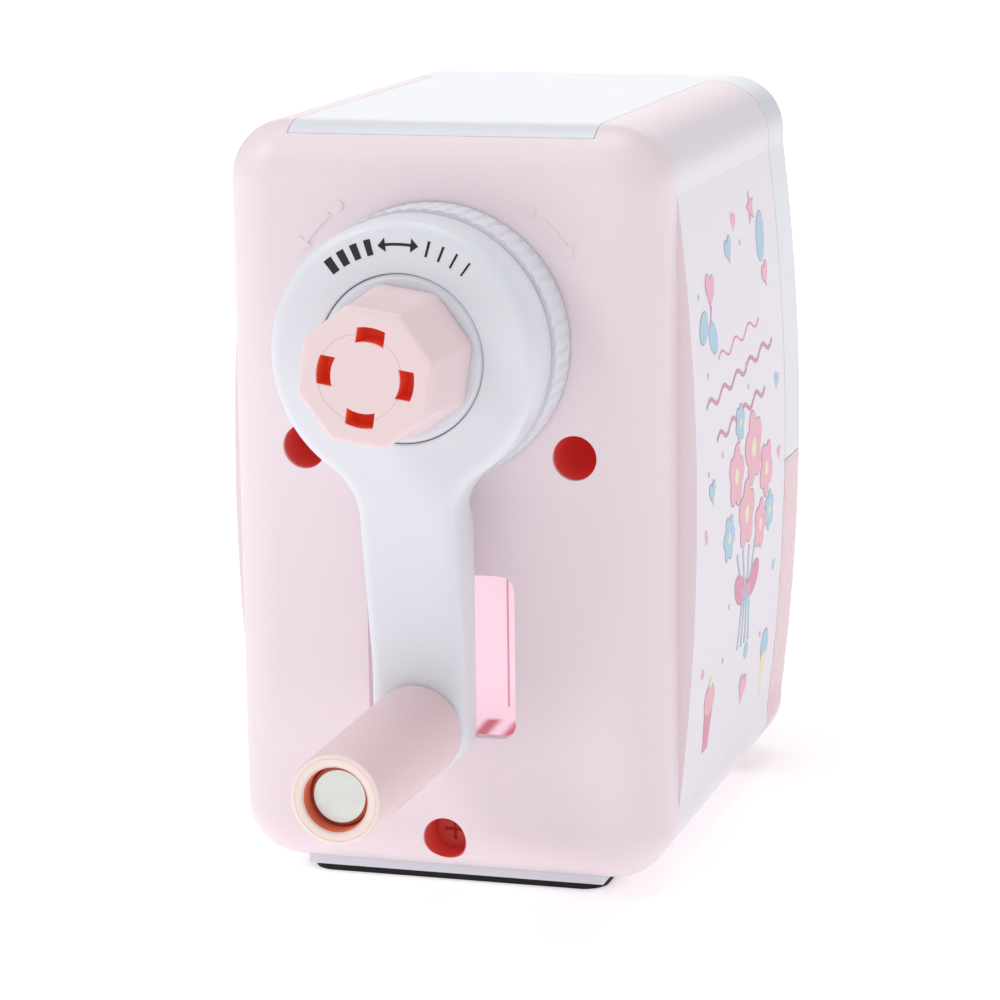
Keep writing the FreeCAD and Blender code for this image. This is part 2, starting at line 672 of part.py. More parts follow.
def inner_frame():
    back = f"{FACE} + bulkhead + bulkhead_thick"
    wall = block(
        "bulkhead_block", "-frame_half", "frame_half", f"{FACE} + bulkhead", back, "frame_low",
        "frame_top",
    )
    top_corners = [along("Y"), level("Z", "frame_top")]
    wall = rounded(
        "bulkhead_outline", wall, "corner - wall + 0.2",
        lambda edge: all(f(edge) for f in top_corners),
    )
    shelf = block(
        "shelf_block", "-frame_half", "frame_half", f"{FACE} + frame_front", f"{FACE} + bulkhead + 1",
        "frame_low", "frame_low + frame_thick",
    )
    chute = block(
        "chute_block", "-chute_half", "chute_half", f"{FACE} + frame_front + 4", f"{FACE} + seat_front - 2",
        "frame_low - 1", "frame_low + frame_thick + 1",
    )
    seat = cylinder(
        "gear_seat", "seat_radius", f"{FACE} + seat_front", f"{FACE} + bulkhead + 1", "0", "crank_z",
    )
    feet = mirrored_pair(
        lambda label, sign: block(
            label, f"{sign} * access_x - 3", f"{sign} * access_x + 3", f"{FACE} + boss_end + 0.1",
            f"{FACE} + bulkhead + 1", "frame_low", "access_z - 3",
        ),
        "frame_foot",
    )
    posts = mirrored_pair(
        lambda label, sign: cylinder(
            label, "boss_radius - 0.4", f"{FACE} + boss_end + 0.1", f"{FACE} + bulkhead + 1",
            f"{sign} * access_x", "access_z",
        ),
        "frame_post",
    )
    solid = fuse("frame_solid", [wall, cut("shelf", shelf, [chute]), seat] + feet + posts)
    tools = [
        cylinder(
            "gear_seat_bore", "gear_outer", f"{FACE} + seat_front - 1", f"{FACE} + bulkhead", "0",
            "crank_z",
        ),
        cylinder("guide_hole", "guide_outer", f"{FACE} + bulkhead - 1", f"{back} + 1", "0", "crank_z"),
    ]
    for sign in ("1", "-1"):
        tools.append(cylinder(
            f"post_pilot_{sign}", "screw_shank", f"{FACE} + boss_end", f"{FACE} + boss_end + screw_grip",
            f"{sign} * access_x", "access_z",
        ))
        tools.append(cylinder(
            f"bush_hole_{sign}", "bush_radius", f"{FACE} + bulkhead - 1",
            f"{back} + 1", f"{sign} * rod_x", "rod_z",
        ))
        tools.append(cylinder(
            f"cover_screw_hole_{sign}", "cover_shank + 0.3", f"{FACE} + bulkhead - 1", f"{back} + 1",
            f"{sign} * post_x", "post_z",
        ))
    return node("inner_frame", cut("inner_frame", solid, tools))


def screw(name, radius, head, head_tall, start, length, x, z):
    """A pan-head screw that points towards +Y, with a cross recess in its head."""
    top = cylinder(name + "_head", head, start, f"{start} + {head_tall}", x, z)
    shank = cylinder(
        name + "_shank", radius, f"{start} + {head_tall} / 2", f"{start} + {head_tall} + {length}", x,
        z,
    )
    deep = f"{start} + {head_tall} * 0.6"
    wide = block(name + "_wide", f"{x} - {head} * 0.6", f"{x} + {head} * 0.6", f"{start} - 1", deep,
                 f"{z} - recess_half / 2", f"{z} + recess_half / 2")
    tall = block(name + "_tall", f"{x} - recess_half / 2", f"{x} + recess_half / 2", f"{start} - 1", deep,
                 f"{z} - {head} * 0.6", f"{z} + {head} * 0.6")
    return cut(name, fuse(name + "_solid", [top, shank]), [wide, tall])


def compound(name, items):
    """Several identical fasteners kept as separate solids of one sub-part."""
    item = doc.addObject("Part::Compound", name)
    item.Links = items
    return node(name, item)


def case_screws():
    seat = f"{FACE} + boss_end - boss_seat - screw_head_tall"
    low_seat = f"{FACE} + low_boss_end - boss_seat - screw_head_tall"
    screws = [
        screw(
            "case_screw_right", "screw_shank", "screw_head", "screw_head_tall", seat, "screw_grip",
            "access_x", "access_z",
        ),
        screw(
            "case_screw_left", "screw_shank", "screw_head", "screw_head_tall", seat, "screw_grip",
            "-access_x", "access_z",
        ),
        screw(
            "case_screw_low", "screw_shank", "screw_head", "screw_head_tall", low_seat,
            "low_screw_grip", "0", "access_low_z",
        ),
    ]
    return compound("case_screws", screws)


def cover_screws():
    start = f"{FACE} + bulkhead - cover_head_tall"
    screws = mirrored_pair(
        lambda label, sign: screw(
            label, "cover_shank", "cover_head", "cover_head_tall", start, "cover_grip",
            f"{sign} * post_x", "post_z",
        ),
        "cover_screw",
    )
    return compound("cover_screws", screws)


def rod_bushes():
    start = f"{FACE} + bulkhead"
    bushes = []
    for side, sign in (("right", "1"), ("left", "-1")):
        x = f"{sign} * rod_x"
        tube = cylinder(
            f"bush_{side}_tube", "bush_radius", start, f"{start} + bulkhead_thick + 1.5", x, "rod_z",
        )
        bore = cylinder(
            f"bush_{side}_bore", "rod_radius + running", f"{start} - 1",
            f"{start} + bulkhead_thick + 3", x, "rod_z",
        )
        bushes.append(cut(f"bush_{side}", tube, [bore]))
    return compound("rod_bushes", bushes)


def pencil_guide():
    start = f"({FACE} + bulkhead)"
    end = f"({start} + bulkhead_thick + 1.5)"
    return revolved("pencil_guide", [
        ("guide_bore", f"{start} + 0.2"),
        ("guide_outer", f"{start} + 0.2"),
        ("guide_outer", f"{start} + bulkhead_thick"),
        ("guide_flange", f"{start} + bulkhead_thick"),
        ("guide_flange", end),
        ("guide_bore + 1", end),
        ("guide_bore", f"{end} - 1"),
    ], z="crank_z")


# ---------------------------------------------------------------- gears and cutter
def toothed_outline(teeth, root, tip, root_width, tip_width, turn):
    """A closed outline of straight-sided teeth in the XY plane; widths are fractions of the pitch."""
    step = 2 * math.pi / teeth
    corners = [(root, -1, root_width), (tip, -1, tip_width), (tip, 1, tip_width), (root, 1, root_width)]
    points = []
    for i in range(teeth):
        middle = i * step + turn
        for radius, side, width in corners:
            angle = middle + side * width * step / 2
            points.append(Vector(radius * math.cos(angle), radius * math.sin(angle), 0))
    return Part.makePolygon(points + points[:1])


def placed(outline, scale, spot, turn):
    """A copy of an outline, scaled and then moved with its normal turned by a rotation."""
    copy = outline.copy()
    copy.scale(scale)
    copy.Placement = Placement(spot, turn)
    return copy


def cutter_frame():
    """The cutter axis: a point at the pencil tip's plane and the axis direction."""
    tilt = math.radians(value("tilt"))
    direction = Vector(0, math.cos(tilt), math.sin(tilt))
    start = Vector(0, value(f"{FACE} + tip_y"), value("crank_z + cutter_radius"))
    return start, direction


def apex():
    """The point where the cutter axis meets the crank axis."""
    start, direction = cutter_frame()
    return start - direction * (value("cutter_radius") / direction.z)


def gear_angles():
    """Pitch cone half angles of pinion and ring gear, in radians, from the tooth counts."""
    tilt = math.radians(value("tilt"))
    ratio = value("ring_teeth / pinion_teeth")
    pinion = math.atan2(math.sin(tilt), ratio - math.cos(tilt))
    return pinion, pinion + tilt


def axis_turn(direction):
    """Turns +Z to a direction in the YZ plane, keeping +X where it is."""
    return Rotation(Vector(1, 0, 0), math.degrees(math.atan2(-direction.y, direction.z)))


def ring_gear():
    centre = apex()
    front = value(f"{FACE} + gear_front")
    back = value(f"{FACE} + gear_back")
    mesh = value(f"{FACE} + gear_plane")
    pitch = (mesh - centre.y) * math.tan(gear_angles()[1])
    module = 2 * pitch / value("ring_teeth")
    teeth = int(value("ring_teeth"))
    half_gap = math.pi / 2 + math.pi / teeth
    outline = toothed_outline(teeth, pitch + 1.25 * module, pitch - 0.65 * module, 0.62, 0.26, half_gap)
    turn = Rotation(Vector(1, 0, 0), 90)
    ends = []
    for y in (front - 0.5, back + 0.5):
        scale = (y - centre.y) / (mesh - centre.y)
        ends.append(placed(outline, scale, Vector(0, y, value("crank_z")), turn))
    hollow = Part.makeLoft(ends, True, True)
    spot = Vector(0, front, value("crank_z"))
    blank = Part.makeCylinder(value("gear_outer"), back - front, spot, Vector(0, 1, 0))
    return solid_node("ring_gear", blank.cut(hollow))


def cutter_pinion():
    centre = apex()
    _, direction = cutter_frame()
    pinion_angle, ring_angle = gear_angles()
    mesh = value(f"{FACE} + gear_plane")
    reach = (mesh - centre.y) / math.cos(ring_angle) * math.cos(pinion_angle)
    pitch = reach * math.tan(pinion_angle)
    module = 2 * pitch / value("pinion_teeth")
    outline = toothed_outline(
        int(value("pinion_teeth")), pitch - 1.15 * module, pitch + 0.6 * module, 0.58, 0.22,
        math.pi / 2,
    )
    turn = axis_turn(direction)
    half = value("gear_half")
    ends = []
    for along_axis in (reach - half, reach + half):
        ends.append(placed(outline, along_axis / reach, centre + direction * along_axis, turn))
    gear = Part.makeLoft(ends, True, True)
    bore = Part.makeCylinder(value("cutter_bore"), 60, centre + direction * (reach - 30), direction)
    return solid_node("cutter_pinion", gear.cut(bore))


def helical_cutter():
    start, direction = cutter_frame()
    edges = int(value("cutter_edges"))
    radius = value("cutter_radius")
    root = radius - value("flute_depth")
    length = value("cutter_length")
    slices = 12
    outline = toothed_outline(edges, root, radius, 0.78, 0.36, 0)
    ends = []
    for i in range(slices + 1):
        part_way = i / slices
        turn = axis_turn(direction).multiply(Rotation(Vector(0, 0, 1), value("cutter_twist") * part_way))
        spot = start + direction * (value("cutter_front") + length * part_way)
        ends.append(placed(outline, 1.0, spot, turn))
    blade = Part.makeLoft(ends, True, True)
    bore = Part.makeCylinder(value("cutter_bore"), length + 20, start - direction * 10, direction)
    return solid_node("helical_cutter", blade.cut(bore))


def cutter_axle():
    start, direction = cutter_frame()
    first = value("carrier_front - tip_y + 0.3")
    last = value("carrier_back + carrier_plate - tip_y - 0.3")
    tilt = math.cos(math.radians(value("tilt")))
    spot = start + direction * (first / tilt)
    return solid_node(
        "cutter_axle", Part.makeCylinder(value("axle_radius"), (last - first) / tilt, spot, direction),
    )


def axle_washers():
    """Thrust washers on the axle at both ends of cutter and pinion."""
    start, direction = cutter_frame()
    _, ring_angle = gear_angles()
    pinion_angle, _ = gear_angles()
    reach = (value("gear_plane - tip_y") + (value(f"{FACE} + tip_y") - apex().y)) / math.cos(ring_angle)
    reach = reach * math.cos(pinion_angle)
    offset = (start - apex()).Length
    behind = reach - offset + value("gear_half") + 0.1
    spots = [value("cutter_front") - 0.8, value("cutter_front + cutter_length") + 0.1, behind]
    rings = []
    for spot in spots:
        base = start + direction * spot
        ring = Part.makeCylinder(value("washer_radius"), value("washer_thick"), base, direction)
        rings.append(ring.cut(
            Part.makeCylinder(value("axle_radius"), value("washer_thick"), base, direction),
        ))
    return solid_node("axle_washers", Part.makeCompound(rings))


def cutter_carrier():
    """Journal, front plate, rear plate and two struts that carry the cutter round the pencil."""
    height = "crank_z"
    front = f"{FACE} + carrier_front"
    back = f"{FACE} + carrier_back"
    pieces = [
        cylinder(
            "carrier_journal", "journal - running", f"{FACE} - disc_back", f"{FACE} - ring_web + 0.2",
            "0", height,
        ),
        cylinder(
            "carrier_flange", "flange_radius", f"{FACE} - ring_web + 0.2", f"{FACE} - 0.6", "0",
            height,
        ),
        cylinder("carrier_hub", "hub_radius", f"{FACE} - 1", f"{front} + 1", "0", height),
        cylinder("carrier_front_plate", "carrier_radius", front, f"{front} + carrier_plate", "0", height),
        cylinder("carrier_rear_plate", "carrier_radius", back, f"{back} + carrier_plate", "0", height),
    ]
    for name, angle in (("right", "-strut_angle"), ("left", "180 + strut_angle")):
        x = f"strut_reach * cos({angle})"
        z = f"crank_z + strut_reach * sin({angle})"
        pieces.append(cylinder(
            f"carrier_strut_{name}", "strut_radius", f"{front} + 1", f"{back} + 1", x, z,
        ))
    solid = fuse("carrier_solid", pieces)
    start, direction = cutter_frame()
    axle_hole = doc.addObject("Part::Feature", "axle_hole")
    axle_hole.Shape = Part.makeCylinder(value("axle_radius"), 90, start - direction * 30, direction)
    tools = [
        cylinder(
            "carrier_bore", "spindle_bore", f"{FACE} - disc_back - 1", f"{front} + carrier_plate + 1",
            "0", height,
        ),
        cylinder(
            "carrier_pencil_hole", "guide_bore + 0.4", f"{back} - 1", f"{back} + carrier_plate + 1",
            "0", height,
        ),
        axle_hole,
    ]
    for name, sign in (("right", "1"), ("left", "-1")):
        tools.append(cylinder(
            f"hub_pilot_{name}", "hub_screw_radius", f"{FACE} - disc_back - 1", f"{FACE} - disc_back + 6",
            f"{sign} * hub_screw_x", height,
        ))
    return node("cutter_carrier", cut("cutter_carrier", solid, tools))


# ---------------------------------------------------------------- crank and grip
def crank_arm():
    owner = body("crank_arm")
    disc = sketch_on(owner, "XZ_Plane", f"-({FACE} - disc_front)")
    draw_circle(disc, "0", "crank_z", "disc_radius")
    pad(owner, disc, "disc_front - disc_back")
    arm = box_outline(
        owner, "XZ_Plane", f"-({FACE} - disc_front)", ("-arm_half", GRIP_Z),
        ("arm_half", "crank_z - arm_half"),
    )
    pad(owner, arm, "disc_front - arm_back")
    end = sketch_on(owner, "XZ_Plane", f"-({FACE} - disc_front)")
    draw_circle(end, "0", GRIP_Z, "arm_half")
    pad(owner, end, "disc_front - arm_back")
    height = math.sqrt(value("disc_radius") ** 2 - value("arm_half") ** 2)
    meeting = value("crank_z") - height

    def blends(edge):
        return along("Y")(edge) and abs(edge.BoundBox.ZMin - meeting) < 0.2

    dress(owner, "Fillet", "arm_blends", "arm_blend", blends)
    slope = sketch_on(owner, "YZ_Plane", "-body_width")
    draw_polygon(slope, [
        (f"{FACE} - disc_front", "crank_z - cap_radius - 6"),
        (f"{FACE} - arm_end_front", f"{GRIP_Z} + arm_half"),
        (f"{FACE} - arm_end_front", f"{GRIP_Z} - arm_half - 2"),
        (f"{FACE} - disc_front - 2", f"{GRIP_Z} - arm_half - 2"),
        (f"{FACE} - disc_front - 2", "crank_z - cap_radius - 6"),
    ])
    pocket(owner, slope, "body_width * 2", False)
    back = sketch_on(owner, "YZ_Plane", "-body_width")
    draw_polygon(back, [
        (f"{FACE} - disc_back", "crank_z"),
        (f"{FACE} - disc_back", "crank_z - ring_radius - 1"),
        (f"{FACE} - arm_back", "crank_z - ring_radius - 6"),
        (f"{FACE} - arm_back + 1", "crank_z - ring_radius - 6"),
        (f"{FACE} - arm_back + 1", "crank_z"),
    ])
    pocket(owner, back, "body_width * 2", False)
    low_edge = level("Y", f"{FACE} - arm_end_front")
    dress(
        owner, "Fillet", "arm_end_edge", "arm_end_round",
        lambda edge: low_edge(edge) and not along("X")(edge),
    )
    for radius, depth in (("cap_radius + 0.15", "disc_front - web_front"), ("spindle_bore", "disc_front")):
        recess = sketch_on(owner, "XZ_Plane", f"-({FACE} - disc_front)")
        draw_circle(recess, "0", "crank_z", radius)
        pocket(owner, recess, depth)
    small_holes = [
        ("hub_screw_x", "crank_z", "hub_screw_radius"),
        ("-hub_screw_x", "crank_z", "hub_screw_radius"),
        ("0", GRIP_Z, "pin_radius - 0.6"),
    ]
    for x, z, radius in small_holes:
        hole = sketch_on(owner, "XZ_Plane", f"-({FACE} - disc_front)")
        draw_circle(hole, x, z, radius)
        pocket(owner, hole, "disc_front")
    return owner


def hub_cap():
    front = f"({FACE} - cap_front)"
    return revolved("hub_cap", [
        ("spindle_bore", front),
        ("cap_radius - 0.6", front),
        ("cap_radius", f"{front} + 0.6"),
        ("cap_radius", f"{FACE} - web_front"),
        ("cap_radius - 2", f"{FACE} - web_front"),
        ("cap_radius - 2", f"{front} + 2"),
        ("spindle_bore", f"{front} + 2"),
    ], z="crank_z")


def hub_screws():
    start = f"{FACE} - web_front - hub_head_tall"
    screws = mirrored_pair(
        lambda label, sign: screw(
            label, "hub_screw_radius", "hub_screw_head", "hub_head_tall", start, "hub_grip",
            f"{sign} * hub_screw_x", "crank_z",
        ),
        "hub_screw",
    )
    return compound("hub_screws", screws)


def grip_pin():
    head = f"({FACE} - grip_end + grip_recess - pin_head_tall - 0.3)"
    front = f"({FACE} - arm_end_front)"
    return revolved("grip_pin", [
        ("0", head),
        ("pin_head - 0.5", head),
        ("pin_head", f"{head} + 0.5"),
        ("pin_head", f"{head} + pin_head_tall"),
        ("pin_radius", f"{head} + pin_head_tall"),
        ("pin_radius", front),
        ("pin_radius - 0.6", front),
        ("pin_radius - 0.6", f"{FACE} - arm_back - 0.5"),
        ("0", f"{FACE} - arm_back - 0.5"),
    ], z=GRIP_Z)


def grip():
    tip = f"({FACE} - grip_end)"
    base = f"({FACE} - arm_end_front - grip_gap)"
    return revolved("grip", [
        ("pin_radius + running", f"{tip} + grip_recess"),
        ("grip_mouth", f"{tip} + grip_recess"),
        ("grip_mouth", f"{tip} + 0.5"),
        ("grip_mouth + 0.5", tip),
        ("grip_radius - 0.7", tip),
        ("grip_radius - 0.2", f"{tip} + 0.2"),
        ("grip_radius", f"{tip} + 0.7"),
        ("grip_root", f"{base} - 0.7"),
        ("grip_root - 0.7", base),
        ("pin_radius + running", base),
    ], z=GRIP_Z)


# ---------------------------------------------------------------- lock ring and point adjuster
def lock_ring():
    """Grooved bayonet ring that holds the cutter unit in the case."""
    front = f"({FACE} - ring_front)"
    along_y = Vector(0, 1, 0)
    length = value("ring_front + sleeve_end")
    turned = Part.makeCylinder(
        value("ring_radius"), value("ring_front - joint_gap"), axis_point(front), along_y,
    )
    sleeve = Part.makeCylinder(value("sleeve_radius"), length, axis_point(front), along_y)
    room = Part.makeCylinder(value("sleeve_bore"), length, axis_point(f"{FACE} - ring_web"), along_y)
    bore = Part.makeCylinder(value("journal"), value("ring_front"), axis_point(f"{front} - 1"), along_y)
    ring = turned.fuse(sleeve).cut(room).cut(bore)
    count = int(value("rib_count"))
    grooves = []
    reach = value("ring_radius + rib_tool - rib_depth")
    for i in range(count):
        angle = 2 * math.pi * i / count
        spot = Vector(reach * math.cos(angle), value(front) - 1, value("crank_z") + reach * math.sin(angle))
        grooves.append(Part.makeCylinder(value("rib_tool"), value("ring_front"), spot, along_y))
    ring = ring.cut(grooves)
    start = value(f"{FACE} + lug_start")
    end = value(f"{FACE} + lug_end")
    core = Part.makeCylinder(
        value("sleeve_bore + 0.3"), end - start, Vector(0, start, value("crank_z")), along_y,
    )
    reach = value("lug_radius")
    lugs = [sector(reach, value("lug_angle"), turn, start, end).cut(core) for turn in (50, 170, 290)]
    return solid_node("lock_ring", ring.fuse(lugs).removeSplitter())


def axis_point(y):
    """The point of the crank axis at y, a text of sheet words."""
    return Vector(0, value(y), value("crank_z"))


def adjuster_knob():
    """Tapered octagonal knob with four curved slots round its centre."""
    owner = doc.addObject("PartDesign::Body", "knob_blank")
    outline = sketch_on(owner, "XZ_Plane", f"-({FACE} - knob_back)")
    angles = [f"{22.5 + 45 * i} + knob_turn" for i in range(8)]
    corners = [(f"knob_corner * cos({angle})", f"crank_z + knob_corner * sin({angle})") for angle in angles]
    draw_polygon(outline, corners)
    blank = pad(owner, outline, "knob_front - knob_back", False)
    bind(blank, "TaperAngle", "-knob_taper")
    dress(
        owner, "Fillet", "knob_edges", "knob_edge",
        lambda edge: edge.BoundBox.YMin < value(f"{FACE} - knob_front + 0.1"),
    )
    hole = sketch_on(owner, "XZ_Plane", f"-({FACE} - spindle_front)")
    draw_circle(hole, "0", "crank_z", "spindle_radius")
    pocket(owner, hole, "knob_front")
    front = value(f"{FACE} - knob_front")
    deep = front + value("slot_deep")
    inner = Part.makeCylinder(
        value("slot_inner"), deep - front + 2, Vector(0, front - 1, value("crank_z")), Vector(0, 1, 0),
    )
    slots = doc.addObject("Part::Feature", "knob_slots")
    turns = [value("knob_turn") + 90 * i for i in range(4)]
    reach = value("slot_outer")
    rings = [sector(reach, value("slot_angle"), turn, front - 1, deep).cut(inner) for turn in turns]
    slots.Shape = Part.makeCompound(rings)
    return node("adjuster_knob", cut("adjuster_knob", owner, [slots]))


def adjuster_spindle():
    return revolved("adjuster_spindle", [
        ("0", f"{FACE} - spindle_front"),
        ("spindle_radius", f"{FACE} - spindle_front"),
        ("spindle_radius", f"{FACE} + spindle_end - 0.5"),
        ("spindle_radius - 0.5", f"{FACE} + spindle_end"),
        ("0", f"{FACE} + spindle_end"),
    ], z="crank_z")


def tip_stop():
    """Sliding stop: a sleeve on the spindle and a finger below the pencil's point."""
    start = f"{FACE} + stop_start"
    sleeve = cylinder("stop_sleeve_rod", "stop_radius", start, f"{FACE} + stop_sleeve", "0", "crank_z")
    finger = block(
        "stop_finger", "-finger_half", "finger_half", f"{FACE} + stop_sleeve - 1", f"{FACE} + stop_tip",
        "crank_z - 3", "crank_z - 0.7",
    )
    bore = cylinder(
        "stop_bore", "spindle_radius + 0.15", f"{start} - 1", f"{FACE} + spindle_end + 3.5", "0",
        "crank_z",
    )
    return node("tip_stop", cut("tip_stop", fuse("stop_solid", [sleeve, finger]), [bore]))


# ---------------------------------------------------------------- drawer
def shavings_drawer(outer, inner):
    start = f"{SEAM} + joint_gap"
    region = block(
        "drawer_region", "-body_width", "body_width", start, f"{REAR} + 1",
        "drawer_low", "drawer_top - joint_gap",
    )
    front = common("drawer_front", [outer, region])
    box = block(
        "drawer_box", "-box_half", "box_half", f"{FACE} + box_front", f"{start} + 4", "box_low", "box_top",
    )
    box = rounded("drawer_box_outline", box, "3", lambda edge: along("Z")(edge) and edge.BoundBox.YMax < 0)
    room = block(
        "drawer_room", "-(box_half - box_wall)", "box_half - box_wall", f"{FACE} + box_front + box_wall",
        f"{start} + 4.1", "box_low + box_wall", "box_top + 1",
    )
    mask = block(
        "drawer_cap_mask", "-body_width", "body_width", f"{start} + 1.5", f"{REAR} + 1",
        "box_low + box_wall", "drawer_top - joint_gap - 1.8",
    )
    cap_room = common("drawer_cap_room", [inner, mask])
    keep = block(
        "pull_backing", "-pull_half - 2", "pull_half + 2", f"{REAR} - pull_deep - 2", f"{REAR} - wall / 2",
        "pull_low - 2", "pull_high + 2",
    )
    pull = block(
        "pull_recess", "-pull_half", "pull_half", f"{REAR} - pull_deep",
        f"{REAR} + 1", "pull_low", "pull_high",
    )
    pull = rounded("pull_outline", pull, "3", along("Y"))
    hollow = cut("drawer_hollow", fuse("drawer_solid", [front, box]), [room, cap_room])
    return node("shavings_drawer", cut("shavings_drawer", fuse("drawer_backed", [hollow, keep]), [pull]))


# ---------------------------------------------------------------- pencil chuck
def chuck_plate():
    front = f"{REAR} + joint_gap"
    plate = block("chuck_block", "-chuck_half", "chuck_half", front, PLATE_BACK, "chuck_low", "chuck_high")
    plate = rounded("chuck_outline", plate, "chuck_round", along("Y"))
    nose = cylinder("chuck_nose", "nose_radius", f"{front} - nose_length", f"{front} + 1", "0", "crank_z")
    tools = [cylinder(
        "chuck_bore", "inlet_radius", f"{front} - nose_length - 1", f"{PLATE_BACK} + 1", "0",
        "crank_z",
    )]
    for sign in ("1", "-1"):
        tools.append(cylinder(
            f"rod_seat_{sign}", "rod_radius", f"{front} - 1", f"{PLATE_BACK} - 1", f"{sign} * rod_x",
            "rod_z",
        ))
        tools.append(cylinder(
            f"pivot_seat_{sign}", "pivot_radius", f"{PLATE_BACK} - 2", f"{PLATE_BACK} + 1",
            f"{sign} * pivot_x", "pivot_z",
        ))
        tools.append(cylinder(
            f"cover_pilot_hole_{sign}", "chuck_shank", f"{front} - 1", f"{PLATE_BACK} + 1",
            f"{sign} * chuck_screw_x", "chuck_screw_z",
        ))
    return node("chuck_plate", cut("chuck_plate", fuse("chuck_solid", [plate, nose]), tools))


def jaw_cover():
    back = f"{PLATE_BACK} + cover_thick"
    shell = block(
        "jaw_cover_block", "-cover_half", "cover_half", PLATE_BACK, back, "cover_low", "cover_high",
    )
    shell = rounded("jaw_cover_outline", shell, "5", along("Y"))
    room = block(
        "jaw_cover_room", "-cover_half + cover_wall", "cover_half - cover_wall", f"{PLATE_BACK} - 1",
        f"{back} - cover_wall", "cover_low + 4", "cover_high + 1",
    )
    lugs = mirrored_pair(
        lambda label, sign: cylinder(
            label, "lug_post", PLATE_BACK, f"{back} - cover_wall / 2",
            f"{sign} * chuck_screw_x", "chuck_screw_z",
        ),
        "jaw_cover_lug",
    )
    tools = [cylinder(
        "jaw_cover_inlet", "inlet_radius", f"{back} - cover_wall - 1", f"{back} + 1", "0", "crank_z",
    )]
    for sign in ("1", "-1"):
        tools.append(cylinder(
            f"jaw_cover_pivot_{sign}", "pivot_radius",
            f"{back} - cover_wall - 1", f"{back} - cover_wall + 1.2",
            f"{sign} * pivot_x", "pivot_z",
        ))
        tools.append(cylinder(
            f"jaw_cover_pilot_{sign}", "chuck_shank", f"{PLATE_BACK} - 1", f"{PLATE_BACK} + 5",
            f"{sign} * chuck_screw_x", "chuck_screw_z",
        ))
    hollow = cut("jaw_cover_hollow", shell, [room])
    return node("jaw_cover", cut("jaw_cover", fuse("jaw_cover_solid", [hollow] + lugs), tools))


def chuck_screws():
    start = f"{REAR} + joint_gap - chuck_head_tall"
    screws = mirrored_pair(
        lambda label, sign: screw(
            label, "chuck_shank", "chuck_head", "chuck_head_tall", start, "chuck_grip",
            f"{sign} * chuck_screw_x", "chuck_screw_z",
        ),
        "chuck_screw",
    )
    return compound("chuck_screws", screws)


def guide_rods():
    end = f"{REAR} + joint_gap + chuck_thick - 1"
    rods = mirrored_pair(
        lambda label, sign: cylinder(
            label, "rod_radius", f"{FACE} + rod_front", end, f"{sign} * rod_x", "rod_z",
        ),
        "guide_rod",
    )
    return compound("guide_rods", rods)


def rod_clips():
    start = f"{FACE} + rod_front + 0.6"
    clips = []
    for side, sign in (("right", "1"), ("left", "-1")):
        x = f"{sign} * rod_x"
        disc = cylinder(f"clip_{side}_disc", "clip_radius", start, f"{start} + clip_thick", x, "rod_z")
        hole = cylinder(
            f"clip_{side}_hole", "rod_radius", f"{start} - 1", f"{start} + clip_thick + 1", x, "rod_z",
        )
        clips.append(cut(f"clip_{side}", disc, [hole]))
    return compound("rod_clips", clips)


def jaw_pivots():
    pins = mirrored_pair(
        lambda label, sign: cylinder(
            label, "pivot_radius", f"{PLATE_BACK} - 2", f"{PLATE_BACK} + cover_thick - cover_wall + 1.2",
            f"{sign} * pivot_x", "pivot_z",
        ),
        "jaw_pivot",
    )
    return compound("jaw_pivots", pins)


def jaw(name, sign):
    """A pinch lever: tab on top, pivot in the middle, pad seat beside the pencil."""
    owner = body(name)
    start = f"{PLATE_BACK} + 1"
    outline = sketch_on(owner, "XZ_Plane", f"-({start})")
    seat = "jaw_face + pad_rubber"
    draw_polygon(outline, [(f"{sign} * ({x})", z) for x, z in (
        ("pivot_x + 5", "tab_high"),
        ("pivot_x + 1.5", "tab_high"),
        ("pivot_x - 2.4", "pivot_z + 4"),
        ("pivot_x - 2.6", "pivot_z - 2"),
        (seat, "crank_z + 5"),
        (seat, "crank_z - 5"),
        (f"{seat} + 2.6", "crank_z - 5"),
        ("pivot_x + 2.6", "pivot_z - 3"),
        ("pivot_x + 2.8", "pivot_z + 4"),
    )])
    pad(owner, outline, "jaw_thick")
    hole = sketch_on(owner, "XZ_Plane", f"-({start} - 1)")
    draw_circle(hole, f"{sign} * pivot_x", "pivot_z", "pivot_radius + running")
    pocket(owner, hole, "jaw_thick + 2")
    return owner


def jaw_pad(name, sign):
    start = f"{PLATE_BACK} + 1"
    ends = ("jaw_face", "jaw_face + pad_rubber") if sign == "1" else ("-jaw_face - pad_rubber", "-jaw_face")
    return node(name, block(name, *ends, start, f"{start} + jaw_thick", "crank_z - 4.6", "crank_z + 4.6"))


def coil(start, end, mean, wire, turns, direction, spot):
    """A closed coil spring along a direction from spot."""
    length = end - start - 2 * wire
    helix = Part.makeHelix(length / turns, length, mean)
    helix.translate(Vector(0, 0, wire))
    profile = Part.Wire(Part.Circle(Vector(mean, 0, wire), Vector(0, 1, 0), wire).toShape())
    spring = Part.Wire(helix).makePipeShell([profile], True, True)
    spring.Placement = Placement(spot, Rotation(Vector(0, 0, 1), direction))
    return spring


def return_spring(name, sign):
    start = value(f"{FACE} + rod_front + 0.6 + clip_thick + 0.05")
    end = value(f"{FACE} + bulkhead - 0.05")
    spot = Vector(sign * value("rod_x"), start, value("rod_z"))
    turns = value("spring_turns")
    wire = value("spring_wire")
    return solid_node(name, coil(start, end, value("spring_mean"), wire, turns, Vector(0, 1, 0), spot))


